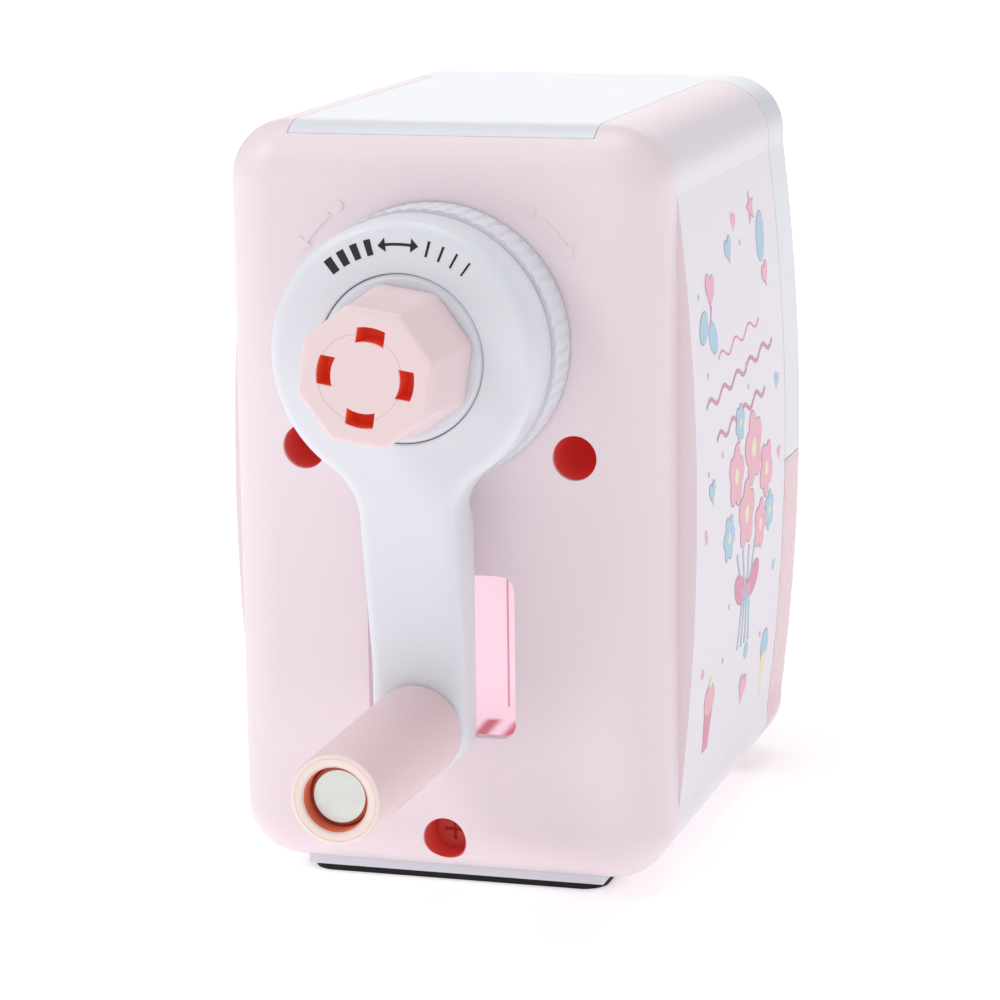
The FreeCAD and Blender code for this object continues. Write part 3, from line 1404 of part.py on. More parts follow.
def jaw_spring():
    reach = value("pivot_x - 1.8")
    spot = Vector(-reach, value(f"{PLATE_BACK} + 1 + jaw_thick / 2"), value("pivot_z + 9.5"))
    mean = value("jaw_spring_mean")
    wire = value("jaw_spring_wire")
    return solid_node(
        "jaw_spring", coil(0, 2 * reach, mean, wire, value("jaw_spring_turns"), Vector(1, 0, 0), spot),
    )


# ---------------------------------------------------------------- assembly
def build():
    outer = envelope("outer_envelope", "0", FACE, REAR, f"{FACE} + crease")
    inner = envelope(
        "inner_envelope", "wall", f"{FACE} + wall", f"{REAR} - wall", f"{FACE} + crease + wall",
    )
    front_shell(outer, inner)
    top_rear_cover(outer, inner)
    base_plate()
    anti_slip_pad()
    inner_frame()
    ring_gear()
    case_screws()
    cover_screws()
    rod_bushes()
    pencil_guide()
    lock_ring()
    crank_arm()
    hub_cap()
    hub_screws()
    cutter_carrier()
    cutter_axle()
    axle_washers()
    grip_pin()
    helical_cutter()
    cutter_pinion()
    grip()
    adjuster_knob()
    adjuster_spindle()
    tip_stop()
    shavings_drawer(outer, inner)
    chuck_plate()
    jaw_cover()
    chuck_screws()
    guide_rods()
    rod_clips()
    jaw_pivots()
    jaw("right_jaw", "1")
    jaw("left_jaw", "-1")
    jaw_pad("right_jaw_pad", "1")
    jaw_pad("left_jaw_pad", "-1")
    jaw_spring()
    return_spring("right_return_spring", 1)
    return_spring("left_return_spring", -1)


def check_and_export():
    doc.recompute()
    for item in doc.Objects:
        if "Invalid" in item.State or "Error" in item.State:
            raise RuntimeError(f"{item.Label} failed: {item.State}")
    os.makedirs("parts", exist_ok=True)
    for name, item in parts.items():
        shape = item.Shape
        if shape.isNull() or not shape.isValid() or not shape.Solids:
            raise RuntimeError(f"{name} has no valid solid")
        shape.exportStep(f"parts/{name}.step")
        print(f"{name}: {len(shape.Solids)} solids, {shape.Volume:.1f} mm3")


build()
check_and_export()
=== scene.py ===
"""Looks of the crank pencil sharpener: smooth crank, knob and grip, prints, materials, studio, camera."""

import json
import math
import random

import bpy
from mathutils import Matrix, Vector
from mathutils.geometry import delaunay_2d_cdt


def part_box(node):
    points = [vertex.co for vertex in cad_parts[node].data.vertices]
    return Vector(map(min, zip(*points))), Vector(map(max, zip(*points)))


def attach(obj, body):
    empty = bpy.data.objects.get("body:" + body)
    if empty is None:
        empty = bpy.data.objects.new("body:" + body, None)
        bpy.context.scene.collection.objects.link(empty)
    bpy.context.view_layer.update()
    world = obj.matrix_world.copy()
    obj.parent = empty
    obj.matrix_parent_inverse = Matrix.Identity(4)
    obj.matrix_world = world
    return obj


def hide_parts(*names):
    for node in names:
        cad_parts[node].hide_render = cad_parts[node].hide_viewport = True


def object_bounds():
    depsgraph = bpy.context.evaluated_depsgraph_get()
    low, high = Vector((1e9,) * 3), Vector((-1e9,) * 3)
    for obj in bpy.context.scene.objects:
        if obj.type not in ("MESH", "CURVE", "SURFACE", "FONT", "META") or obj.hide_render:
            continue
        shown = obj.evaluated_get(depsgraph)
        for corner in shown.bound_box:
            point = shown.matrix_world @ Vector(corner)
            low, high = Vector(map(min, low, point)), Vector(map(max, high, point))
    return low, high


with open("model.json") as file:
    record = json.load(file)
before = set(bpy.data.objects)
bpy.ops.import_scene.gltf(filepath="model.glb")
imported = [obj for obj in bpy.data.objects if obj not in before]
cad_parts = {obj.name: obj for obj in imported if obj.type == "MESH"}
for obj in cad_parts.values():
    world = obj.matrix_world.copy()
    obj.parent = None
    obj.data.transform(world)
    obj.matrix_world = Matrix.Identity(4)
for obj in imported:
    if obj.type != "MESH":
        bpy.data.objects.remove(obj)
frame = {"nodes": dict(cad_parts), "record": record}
cad_low, cad_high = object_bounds()

MM = 0.001
RANDOM = random.Random(7)

# ---------------------------------------------------------------- where things are, read from the frame
shell_low, shell_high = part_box("front_shell")
arm_low, arm_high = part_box("crank_arm")
_, cap_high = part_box("hub_cap")
knob_low, knob_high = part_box("adjuster_knob")
grip_low, grip_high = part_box("grip")
drawer_low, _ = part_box("shavings_drawer")
FACE_Y = shell_low.y
DISC_RADIUS = arm_high.x
CRANK_Z = arm_high.z - DISC_RADIUS
ARM_HALF = 7.8 * MM
GRIP_Z = arm_low.z + ARM_HALF
GRIP_RADIUS = 7.15 * MM
GRIP_ROOT = grip_high.x
CAP_RADIUS = cap_high.x


# ---------------------------------------------------------------- shader helpers
def add(tree, kind, **settings):
    node = tree.nodes.new(kind)
    for name, value in settings.items():
        setattr(node, name, value)
    return node


def connect(tree, source, target):
    """source: an output socket or a plain value."""
    if hasattr(source, "is_output"):
        tree.links.new(source, target)
    else:
        target.default_value = source


def calc(tree, operation, *values):
    node = add(tree, "ShaderNodeMath", operation=operation)
    for i, value in enumerate(values):
        connect(tree, value, node.inputs[i])
    return node.outputs[0]


def mixed(tree, factor, first, second):
    node = add(tree, "ShaderNodeMix", data_type="RGBA")
    connect(tree, factor, node.inputs[0])
    connect(tree, first, node.inputs[6])
    connect(tree, second, node.inputs[7])
    return node.outputs[2]


def ramp(tree, source, start, end):
    """0 before start, 1 after end, straight between them."""
    share = calc(tree, "DIVIDE", calc(tree, "SUBTRACT", source, start), end - start)
    return calc(tree, "MINIMUM", calc(tree, "MAXIMUM", share, 0.0), 1.0)


def noise(tree, scale, detail=2.0, stretch=(1, 1, 1)):
    place = add(tree, "ShaderNodeTexCoord").outputs["Object"]
    mapping = add(tree, "ShaderNodeMapping")
    mapping.inputs["Scale"].default_value = stretch
    tree.links.new(place, mapping.inputs["Vector"])
    texture = add(tree, "ShaderNodeTexNoise")
    texture.inputs["Scale"].default_value = scale
    texture.inputs["Detail"].default_value = detail
    tree.links.new(mapping.outputs[0], texture.inputs["Vector"])
    return texture.outputs[0]


def linear(colour):
    """An sRGB colour in 0-255 as linear RGBA."""
    parts = [c / 255 for c in colour]
    return tuple(c / 12.92 if c <= 0.04045 else ((c + 0.055) / 1.055) ** 2.4 for c in parts) + (1.0,)


def material(name):
    made = bpy.data.materials.new(name)
    made.use_nodes = True
    return made, made.node_tree, made.node_tree.nodes["Principled BSDF"]


def surface(tree, bsdf, colour, spread, roughness, rough_spread, grain, grain_scale):
    """Colour drift, uneven gloss and a fine moulded grain."""
    cloud = noise(tree, 28.0, 3.0)
    low = tuple(c * (1 - spread) for c in linear(colour)[:3]) + (1.0,)
    high = tuple(min(c * (1 + spread), 1.0) for c in linear(colour)[:3]) + (1.0,)
    tone = mixed(tree, cloud, low, high)
    connect(tree, tone, bsdf.inputs["Base Color"])
    patches = noise(tree, 160.0, 4.0)
    gloss = calc(tree, "MULTIPLY_ADD", patches, rough_spread, roughness - rough_spread / 2)
    connect(tree, gloss, bsdf.inputs["Roughness"])
    bump = add(tree, "ShaderNodeBump")
    bump.inputs["Strength"].default_value = grain
    bump.inputs["Distance"].default_value = 0.0001
    connect(tree, noise(tree, grain_scale, 2.0), bump.inputs["Height"])
    connect(tree, bump.outputs[0], bsdf.inputs["Normal"])
    return tone


def plastic(
    name, colour, spread=0.02, roughness=0.36, rough_spread=0.08, grain=0.10, grain_scale=1500.0, soft=0.06,
):
    """Moulded plastic; soft is how much light spreads under its skin."""
    made, tree, bsdf = material(name)
    surface(tree, bsdf, colour, spread, roughness, rough_spread, grain, grain_scale)
    bsdf.inputs["Subsurface Weight"].default_value = soft
    bsdf.inputs["Subsurface Radius"].default_value = (1.0, 0.55, 0.5)
    bsdf.inputs["Subsurface Scale"].default_value = 0.0015
    bsdf.inputs["IOR"].default_value = 1.49
    return made


def glowing(name, colour, light):
    """Plastic for narrow hollows with painted glow: a deep red base colour and emission stand in for light
    bouncing round inside the hollow.
    """
    made = plastic(name, colour, 0.10, 0.42, soft=0.1)
    bsdf = made.node_tree.nodes["Principled BSDF"]
    bsdf.inputs["Emission Color"].default_value = linear(light)
    bsdf.inputs["Emission Strength"].default_value = 1.0
    return made


def metal(name, colour, roughness, stretch, grain=0.25, grain_scale=900.0):
    """Metal with a drawn or turned grain: stretch squeezes the grain along one direction."""
    made, tree, bsdf = material(name)
    bsdf.inputs["Metallic"].default_value = 1.0
    tone = mixed(tree, noise(tree, 240.0, 3.0, stretch), linear([c * 0.9 for c in colour]), linear(colour))
    connect(tree, tone, bsdf.inputs["Base Color"])
    gloss = calc(tree, "MULTIPLY_ADD", noise(tree, grain_scale, 3.0, stretch), 0.16, roughness - 0.08)
    connect(tree, gloss, bsdf.inputs["Roughness"])
    bump = add(tree, "ShaderNodeBump")
    bump.inputs["Strength"].default_value = grain
    bump.inputs["Distance"].default_value = 0.00004
    connect(tree, noise(tree, grain_scale, 3.0, stretch), bump.inputs["Height"])
    connect(tree, bump.outputs[0], bsdf.inputs["Normal"])
    return made


# ---------------------------------------------------------------- materials
PINK = (246, 230, 236)
PANEL = (243, 236, 246)
HOLE_PAINTED_SHADE = (196, 82, 76)
HOLE_PAINTED_GLOW = (112, 22, 20)
WHITE = (233, 235, 243)

# on the drawer's front wall: painted shade, a band with slanted streaks at the window's foot and a thin
# upright line
SHADE_BAND_FOOT = 21.0 * MM
SHADE_BAND_TOP = 25.0 * MM
SHADE_STREAK_RATE = 1300.0
SHADE_LINE_X = 6.6 * MM
SHADE_LINE_HALF = 0.18 * MM
SHADE_LINE_FOOT = 27.0 * MM

# middles of the screw access holes in the crank face, (x, z)
HOLES = [(22.4 * MM, 72.25 * MM), (-22.4 * MM, 72.25 * MM), (0.0, 8.4 * MM)]


def shell_material():
    """Pale pink shell: side panels a shade whiter, and painted shade and glow inside the screw holes, where
    a deep red colour and emission stand in for light bouncing round the pink hollows.
    """
    made, tree, bsdf = material("shell_pink")
    tone = surface(tree, bsdf, PINK, 0.018, 0.38, 0.08, 0.10, 1500.0)
    spot = add(tree, "ShaderNodeSeparateXYZ")
    tree.links.new(add(tree, "ShaderNodeTexCoord").outputs["Object"], spot.inputs[0])
    x, y, z = spot.outputs
    facing = add(tree, "ShaderNodeSeparateXYZ")
    tree.links.new(add(tree, "ShaderNodeNewGeometry").outputs["Normal"], facing.inputs[0])
    sideways = ramp(tree, calc(tree, "ABSOLUTE", facing.outputs[0]), 0.35, 0.95)
    side = calc(tree, "MULTIPLY", sideways, calc(tree, "GREATER_THAN", y, FACE_Y + 12.6 * MM))
    tone = mixed(tree, side, tone, linear(PANEL))
    # painted shade and glow in the screw holes: behind the face the colour deepens to red and emits,
    # standing in for light bouncing round inside the pink hollows
    depth = ramp(tree, y, FACE_Y + 0.1 * MM, FACE_Y + 1.3 * MM)
    inside = None
    for hole_x, hole_z in HOLES:
        across = calc(tree, "POWER", calc(tree, "SUBTRACT", x, hole_x), 2.0)
        up = calc(tree, "POWER", calc(tree, "SUBTRACT", z, hole_z), 2.0)
        near = calc(tree, "LESS_THAN", calc(tree, "ADD", across, up), (3.75 * MM) ** 2)
        inside = near if inside is None else calc(tree, "MAXIMUM", inside, near)
    glow = calc(tree, "MULTIPLY", inside, depth)
    tone = mixed(tree, calc(tree, "MULTIPLY", glow, 0.96), tone, linear(HOLE_PAINTED_SHADE))
    connect(tree, tone, bsdf.inputs["Base Color"])
    connect(tree, mixed(tree, glow, (0, 0, 0, 1), linear(HOLE_PAINTED_GLOW)), bsdf.inputs["Emission Color"])
    bsdf.inputs["Emission Strength"].default_value = 1.0
    bsdf.inputs["Subsurface Weight"].default_value = 0.05
    bsdf.inputs["Subsurface Radius"].default_value = (1.0, 0.5, 0.45)
    bsdf.inputs["Subsurface Scale"].default_value = 0.0015
    bsdf.inputs["IOR"].default_value = 1.49
    return made


def clear_material():
    """Clear pink moulding: see-through, with painted glow, bright on the wall behind the window and faint
    elsewhere, and painted shade on that wall.
    """
    made, tree, bsdf = material("clear_pink")
    spot = add(tree, "ShaderNodeSeparateXYZ")
    tree.links.new(add(tree, "ShaderNodeTexCoord").outputs["Object"], spot.inputs[0])
    x, y, z = spot.outputs
    # the drawer's front wall, where the painted glow is bright and the painted shade lies
    front = calc(tree, "LESS_THAN", y, drawer_low.y + 0.4 * MM)
    low = calc(tree, "SUBTRACT", 1.0, ramp(tree, z, SHADE_BAND_TOP - 0.6 * MM, SHADE_BAND_TOP))
    low = calc(tree, "MULTIPLY", low, calc(tree, "GREATER_THAN", z, SHADE_BAND_FOOT))
    slant = calc(tree, "SUBTRACT", x, calc(tree, "MULTIPLY", z, 0.9))
    swing = calc(tree, "SINE", calc(tree, "MULTIPLY", slant, SHADE_STREAK_RATE))
    shade_streaks = calc(tree, "MULTIPLY_ADD", swing, 0.5, 0.5)
    low = calc(tree, "MULTIPLY", calc(tree, "MULTIPLY", low, front), ramp(tree, shade_streaks, 0.1, 0.9))
    line = calc(tree, "LESS_THAN", calc(tree, "ABSOLUTE", calc(tree, "SUBTRACT", x, SHADE_LINE_X)), SHADE_LINE_HALF)
    above = calc(tree, "GREATER_THAN", z, SHADE_LINE_FOOT)
    line = calc(tree, "MULTIPLY", calc(tree, "MULTIPLY", line, front), above)
    # painted shade mask: the streaked band and the upright line
    deep = calc(tree, "MAXIMUM", low, calc(tree, "MULTIPLY", line, 0.8))
    tone = mixed(tree, noise(tree, 60.0, 2.0), linear((250, 214, 222)), linear((252, 224, 230)))
    tone = mixed(tree, deep, tone, linear((232, 112, 130)))
    connect(tree, tone, bsdf.inputs["Base Color"])
    # painted glow: emission, darker under the painted shade, bright on the front wall and faint on the rest
    # of the moulding
    painted_glow = mixed(tree, deep, linear((198, 189, 200)), linear((120, 52, 62)))
    connect(tree, mixed(tree, front, linear((46, 26, 30)), painted_glow), bsdf.inputs["Emission Color"])
    bsdf.inputs["Emission Strength"].default_value = 1.0
    gloss = calc(tree, "MULTIPLY_ADD", noise(tree, 220.0, 3.0), 0.08, 0.10)
    connect(tree, gloss, bsdf.inputs["Roughness"])
    bsdf.inputs["Transmission Weight"].default_value = 0.35
    bsdf.inputs["IOR"].default_value = 1.45
    bsdf.inputs["Alpha"].default_value = 0.72
    bump = add(tree, "ShaderNodeBump")
    bump.inputs["Strength"].default_value = 0.08
    bump.inputs["Distance"].default_value = 0.0001
    connect(tree, noise(tree, 300.0, 2.0), bump.inputs["Height"])
    connect(tree, bump.outputs[0], bsdf.inputs["Normal"])
    return made


def knob_material():
    """Pale pink moulding with the faint round line of the knob's centre cap on its face."""
    made = plastic("knob_pink", (243, 220, 222), 0.015, 0.32, soft=0.10)
    tree = made.node_tree
    bsdf = tree.nodes["Principled BSDF"]
    spot = add(tree, "ShaderNodeSeparateXYZ")
    tree.links.new(add(tree, "ShaderNodeTexCoord").outputs["Object"], spot.inputs[0])
    x, y, z = spot.outputs
    height = calc(tree, "SUBTRACT", z, CRANK_Z)
    squares = calc(tree, "ADD", calc(tree, "MULTIPLY", x, x), calc(tree, "MULTIPLY", height, height))
    reach = calc(tree, "SQRT", squares)
    middle = calc(tree, "SUBTRACT", 6.5 * MM, calc(tree, "MULTIPLY", x, 0.13))
    line = calc(tree, "ABSOLUTE", calc(tree, "SUBTRACT", reach, middle))
    line = calc(tree, "SUBTRACT", 1.0, ramp(tree, line, 0.06 * MM, 0.14 * MM))
    line = calc(tree, "MULTIPLY", line, calc(tree, "LESS_THAN", y, knob_low.y + 0.1 * MM))
    tone = bsdf.inputs["Base Color"].links[0].from_socket
    lined = mixed(tree, calc(tree, "MULTIPLY", line, 0.5), tone, linear((214, 180, 178)))
    connect(tree, lined, bsdf.inputs["Base Color"])
    return made


def rubber_material():
    made, tree, bsdf = material("black_rubber")
    surface(tree, bsdf, (12, 12, 18), 0.25, 0.78, 0.15, 0.5, 1800.0)
    return made


FINISHES = {
    "pink_shell": shell_material(),
    "white_plastic": plastic("white_moulding", WHITE, 0.012, 0.33),
    "black_rubber": rubber_material(),
    "frame_plastic": plastic("frame_white", (226, 224, 222), 0.02, 0.45),
    "gear_plastic": plastic("gear_white", (236, 232, 220), 0.02, 0.40),
    "zinc_screw": metal("zinc", (186, 188, 192), 0.36, (1, 1, 1)),
    "spring_steel": metal("spring_wire", (168, 170, 174), 0.28, (1, 1, 1)),
    "polished_steel": metal("ground_rod", (205, 206, 210), 0.16, (1, 12, 1)),
    "pin_metal": metal("pin_steel", (224, 226, 222), 0.34, (1, 1, 1), 0.15),
    "cutter_steel": metal("tool_steel", (150, 152, 158), 0.26, (1, 8, 1)),
    "pale_pink": plastic("grip_pink", (240, 214, 217), 0.015, 0.34, soft=0.10),
    "clear_pink": clear_material(),
    "soft_grip": plastic("soft_pad", (242, 176, 190), 0.04, 0.65, 0.12, 0.3, 1100.0, 0.1),
}
# painted glow for the knob's slots: deep red colour and emission stand in for light bouncing inside the
# pink hollows
HOLLOW_PAINTED_GLOW = glowing("knob_hollow_painted_glow", (232, 104, 76), (96, 22, 12))
# painted glow for the inside of the grip's mouth: orange-red colour and emission stand in for light
# bouncing in the hollow
GRIP_MOUTH_PAINTED_GLOW = glowing("grip_mouth", (226, 118, 84), (70, 18, 8))
# zinc with painted shade and painted reflection: a dark red tint and emission stand in for the red light of
# the hole walls round the screw heads
ZINC_PAINTED_SHADE_GLOW = glowing("zinc_in_hole_painted_shade_glow", (178, 66, 62), (96, 18, 16))
INK_LINE = plastic("ink_line", (186, 160, 172), 0.08, 0.45, 0.1, 0.05)
# painted highlight: a lighter, warmer copy of the grip's pink for its flat front rim
GRIP_RIM_PAINTED_HIGHLIGHT = plastic("grip_rim_painted_highlight", (251, 234, 226), 0.015, 0.34, soft=0.1)
INK_BLACK = plastic("ink_black", (24, 22, 26), 0.10, 0.5, 0.1, 0.05)
INK_PINK = plastic("ink_pink", (246, 182, 200), 0.05, 0.42, 0.1, 0.05)
INK_ROSE = plastic("ink_rose", (232, 140, 172), 0.05, 0.42, 0.1, 0.05)
INK_BLUE = plastic("ink_blue", (176, 212, 236), 0.05, 0.42, 0.1, 0.05)
INK_CREAM = plastic("ink_cream", (250, 236, 200), 0.04, 0.42, 0.1, 0.05)

subparts = frame["record"]["subparts"]
slots = {part["node"]: part["material_slot"] for part in subparts if "material_slot" in part}


def paint_nodes():
    for name, item in frame["nodes"].items():
        for holder in item.material_slots:
            base = holder.material.name.split(".")[0] if holder.material else ""
            finish = FINISHES.get(slots.get(name)) or FINISHES.get(base)
            if finish is None:
                raise RuntimeError(f"no finish for {name} {base}")
            # the case screws take the painted shade and reflection zinc instead of their plain finish
            holder.material = ZINC_PAINTED_SHADE_GLOW if name == "case_screws" else finish


# ---------------------------------------------------------------- mesh helpers
def mesh_object(name, points, faces, finish, smooth=True):
    mesh = bpy.data.meshes.new(name)
    mesh.from_pydata([tuple(p) for p in points], [], faces)
    mesh.materials.append(finish)
    mesh.validate()
    mesh.update()
    item = bpy.data.objects.new(name, mesh)
    bpy.context.scene.collection.objects.link(item)
    if smooth:
        mesh.shade_smooth()
    return item


def keep_edges(item, angle=38.0):
    """Smooth shading that stops at edges sharper than angle."""
    bpy.context.view_layer.objects.active = item
    for other in bpy.context.selected_objects:
        other.select_set(False)
    item.select_set(True)
    bpy.ops.object.shade_smooth_by_angle(angle=math.radians(angle))
    item.select_set(False)


def inside_loop(point, loop):
    """Whether a 2-D point is inside a closed loop."""
    x, y = point
    found = False
    for i, (x1, y1) in enumerate(loop):
        x2, y2 = loop[i - 1]
        if (y1 > y) != (y2 > y) and x < (x2 - x1) * (y - y1) / (y2 - y1) + x1:
            found = not found
    return found


def loop_distance(point, loop):
    p = Vector(point)
    best = 1e9
    for i, start in enumerate(loop):
        a = Vector(start)
        b = Vector(loop[i - 1])
        side = b - a
        t = max(0.0, min(1.0, (p - a).dot(side) / max(side.length_squared, 1e-18)))
        best = min(best, (p - a - side * t).length)
    return best


def filled(outer, holes=(), rings=(), spacing=2.0 * MM):
    """Triangles over a 2-D area: outer loop first in the points, then holes, then rings, then a grid."""
    points = []
    edges = []
    for loop in [outer, *holes, *rings]:
        first = len(points)
        points.extend(loop)
        edges.extend((first + i, first + (i + 1) % len(loop)) for i in range(len(loop)))
    inner = rings[-1] if rings else outer
    margin = 0.45 * spacing
    xs = [p[0] for p in outer]
    ys = [p[1] for p in outer]
    row = 0
    y = min(ys) + spacing / 2
    while y < max(ys):
        x = min(xs) + spacing * (0.25 if row % 2 else 0.75)
        while x < max(xs):
            spot = (x, y)
            clear = inside_loop(spot, inner) and loop_distance(spot, inner) > margin
            if clear and not any(inside_loop(spot, h) or loop_distance(spot, h) < margin for h in holes):
                points.append(spot)
            x += spacing
        y += spacing * 0.87
        row += 1
    made, _, faces, origin, _, _ = delaunay_2d_cdt([Vector(p) for p in points], edges, [], 0, 1e-9)
    order = {}
    for index, sources in enumerate(origin):
        for source in sources:
            order[source] = index
    kept = []
    for face in faces:
        middle = sum((made[i] for i in face), Vector((0, 0))) / len(face)
        if inside_loop(middle, outer) and not any(inside_loop(middle, h) for h in holes):
            kept.append(tuple(face))
    return [tuple(p) for p in made], kept, order


def offset_loop(loop, distance):
    """A counter-clockwise loop moved inward by distance."""
    moved = []
    total = len(loop)
    for i in range(total):
        before = Vector(loop[i - 1])
        here = Vector(loop[i])
        after = Vector(loop[(i + 1) % total])
        first = (here - before).normalized()
        second = (after - here).normalized()
        normal = Vector((-first.y - second.y, first.x + second.x))
        normal.normalize()
        share = max(0.5, normal.dot(Vector((-first.y, first.x))))
        moved.append(tuple(here + normal * distance / share))
    return moved


def circle(radius, count, start=0.0):
    step = 2 * math.pi / count
    angles = [start + i * step for i in range(count)]
    return [(radius * math.cos(a), radius * math.sin(a)) for a in angles]


def bridged(first, second):
    """Quads between two closed rings of point numbers with the same count."""
    total = len(first)
    return [(first[i], first[(i + 1) % total], second[(i + 1) % total], second[i]) for i in range(total)]


# ---------------------------------------------------------------- crank arm
def arm_outline():
    """Disc, blends, straight arm and round end, counter-clockwise in (x, z) about the crank axis."""
    blend = 9.0 * MM
    lift = math.sqrt((DISC_RADIUS + blend) ** 2 - (ARM_HALF + blend) ** 2)
    throw = CRANK_Z - GRIP_Z
    towards = math.atan2(-lift, ARM_HALF + blend)
    points = []
    steps = 110
    start = towards
    end = math.pi - towards
    for i in range(steps + 1):
        a = start + (end - start) * i / steps
        points.append((DISC_RADIUS * math.cos(a), DISC_RADIUS * math.sin(a)))
    first = -towards
    for i in range(1, 13):
        a = first * (1 - i / 12)
        points.append((-ARM_HALF - blend + blend * math.cos(a), -lift + blend * math.sin(a)))
    straight = 14
    for i in range(1, straight):
        points.append((-ARM_HALF, -lift + (lift - throw) * i / straight))
    for i in range(33):
        a = math.pi + math.pi * i / 32
        points.append((ARM_HALF * math.cos(a), -throw + ARM_HALF * math.sin(a)))
    for i in range(1, straight):
        points.append((ARM_HALF, -throw + (throw - lift) * i / straight))
    for i in range(12):
        a = math.pi + first * i / 12 * -1
        points.append((ARM_HALF + blend + blend * math.cos(a), -lift + blend * math.sin(a)))
    return points


def arm_front(z):
    """How far the arm's front lies behind the disc's front at height z about the crank axis."""
    high = -(CAP_RADIUS + 6.0 * MM)
    low = GRIP_Z + ARM_HALF - CRANK_Z
    drop = 5.5 * MM
    t = (high - z) / (high - low)
    t = max(0.0, min(1.0, t))
    ease = 0.12
    if t < ease:
        return drop * t * t / (2 * ease) / (1 - ease)
    if t > 1 - ease:
        return drop * (1 - (1 - t) ** 2 / (2 * ease) / (1 - ease))
    return drop * (t - ease / 2) / (1 - ease)


def arm_back(z):
    """How far the arm's back lies in front of its lowest plane."""
    high = -(21.9 + 1.0) * MM
    low = -(21.9 + 6.0) * MM
    t = max(0.0, min(1.0, (high - z) / (high - low)))
    return 2.6 * MM * (1 - t * t * (3 - 2 * t))


def crank_piece():
    outline = arm_outline()
    total = len(outline)
    round_front = 2.0 * MM
    round_back = 0.8 * MM
    steps = 7
    turns = [math.pi / 2 * i / (steps - 1) for i in range(steps)]
    rings = [offset_loop(outline, round_front * (1 - math.cos(a))) for a in turns[1:]]
    mouth_radius = CAP_RADIUS + 0.15 * MM
    mouth = circle(mouth_radius + 0.25 * MM, 96)
    points = []
    faces = []

    flat, kept, order = filled(outline, [mouth], rings, 2.2 * MM)
    drops = {}
    for level, ring in enumerate([outline] + rings):
        first = 0 if level == 0 else total + len(mouth) + (level - 1) * total
        for i in range(total):
            drops[order[first + i]] = round_front * (1 - math.sin(turns[level]))
    front_numbers = {}
    for number, (x, z) in enumerate(flat):
        y = arm_low.y + arm_front(z) + drops.get(number, 0.0)
        front_numbers[number] = len(points)
        points.append((x, y, CRANK_Z + z))
    for face in kept:
        faces.append(tuple(front_numbers[i] for i in face))
    rim = [front_numbers[order[i]] for i in range(total)]
    mouth_rim = [front_numbers[order[total + i]] for i in range(len(mouth))]

    bore = circle(3.6 * MM, 48)
    back_turns = [math.pi / 2 * i / 3 for i in range(4)]
    back_rings = [offset_loop(outline, round_back * (1 - math.cos(a))) for a in back_turns[1:]]
    flat, kept, order = filled(outline, [bore], back_rings, 3.0 * MM)
    drops = {}
    for level, ring in enumerate([outline] + back_rings):
        first = 0 if level == 0 else total + len(bore) + (level - 1) * total
        for i in range(total):
            drops[order[first + i]] = round_back * (1 - math.sin(back_turns[level]))
    back_numbers = {}
    for number, (x, z) in enumerate(flat):
        y = arm_high.y - arm_back(z) - drops.get(number, 0.0)
        back_numbers[number] = len(points)
        points.append((x, y, CRANK_Z + z))
    for face in kept:
        faces.append(tuple(reversed([back_numbers[i] for i in face])))
    back_rim = [back_numbers[order[i]] for i in range(total)]
    bore_rim = [back_numbers[order[total + i]] for i in range(len(bore))]
    faces.extend(bridged(back_rim, rim))

    def ring_at(radius, depth, like):
        start = len(points)
        for x, z in like:
            size = math.hypot(x, z)
            points.append((x / size * radius, depth, CRANK_Z + z / size * radius))
        return list(range(start, start + len(like)))

    web = FACE_Y - 13.4 * MM
    lip = ring_at(mouth_radius, arm_low.y + 0.25 * MM, mouth)
    foot = ring_at(mouth_radius, web, mouth)
    faces.extend(bridged(mouth_rim, lip))
    faces.extend(bridged(lip, foot))
    half = circle(1.0, 48)
    hub = ring_at(3.6 * MM, web, half)
    inner = ring_at(8.0 * MM, web, mouth)
    faces.extend(bridged(foot, inner))
    for i in range(48):
        j = (i + 1) % 48
        faces.append((inner[2 * i], inner[2 * i + 1], hub[i]))
        faces.append((inner[2 * i + 1], inner[(2 * i + 2) % 96], hub[j], hub[i]))
    faces.extend(bridged(hub, bore_rim))
    item = mesh_object("crank_arm_smooth", points, faces, FINISHES["white_plastic"])
    flip_outward(item)
    keep_edges(item, 40)
    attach(item, "crank")
    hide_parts("crank_arm")
    return item


def flip_outward(item):
    """Faces all look outward."""
    bpy.context.view_layer.objects.active = item
    item.select_set(True)
    bpy.ops.object.mode_set(mode="EDIT")
    bpy.ops.mesh.select_all(action="SELECT")
    bpy.ops.mesh.normals_make_consistent(inside=False)
    bpy.ops.object.mode_set(mode="OBJECT")
    item.select_set(False)


# ---------------------------------------------------------------- revolved pieces
def spun(name, profile, middle_z, finish, count=96):
    """A closed (radius, y) profile turned round a line along Y."""
    points = []
    for i in range(count):
        a = 2 * math.pi * i / count
        points.extend((r * math.cos(a), y, middle_z + r * math.sin(a)) for r, y in profile)
    total = len(profile)
    faces = []
    for i in range(count):
        j = (i + 1) % count
        for k in range(total):
            m = (k + 1) % total
            if profile[k][0] == 0 and profile[m][0] == 0:
                continue
            faces.append((i * total + k, i * total + m, j * total + m, j * total + k))
    item = mesh_object(name, points, faces, finish)
    flip_outward(item)
    return item


def quarter(steps, first=0):
    """Angles over a quarter turn, from step first to the last."""
    return [math.pi / 2 * i / steps for i in range(first, steps + 1)]


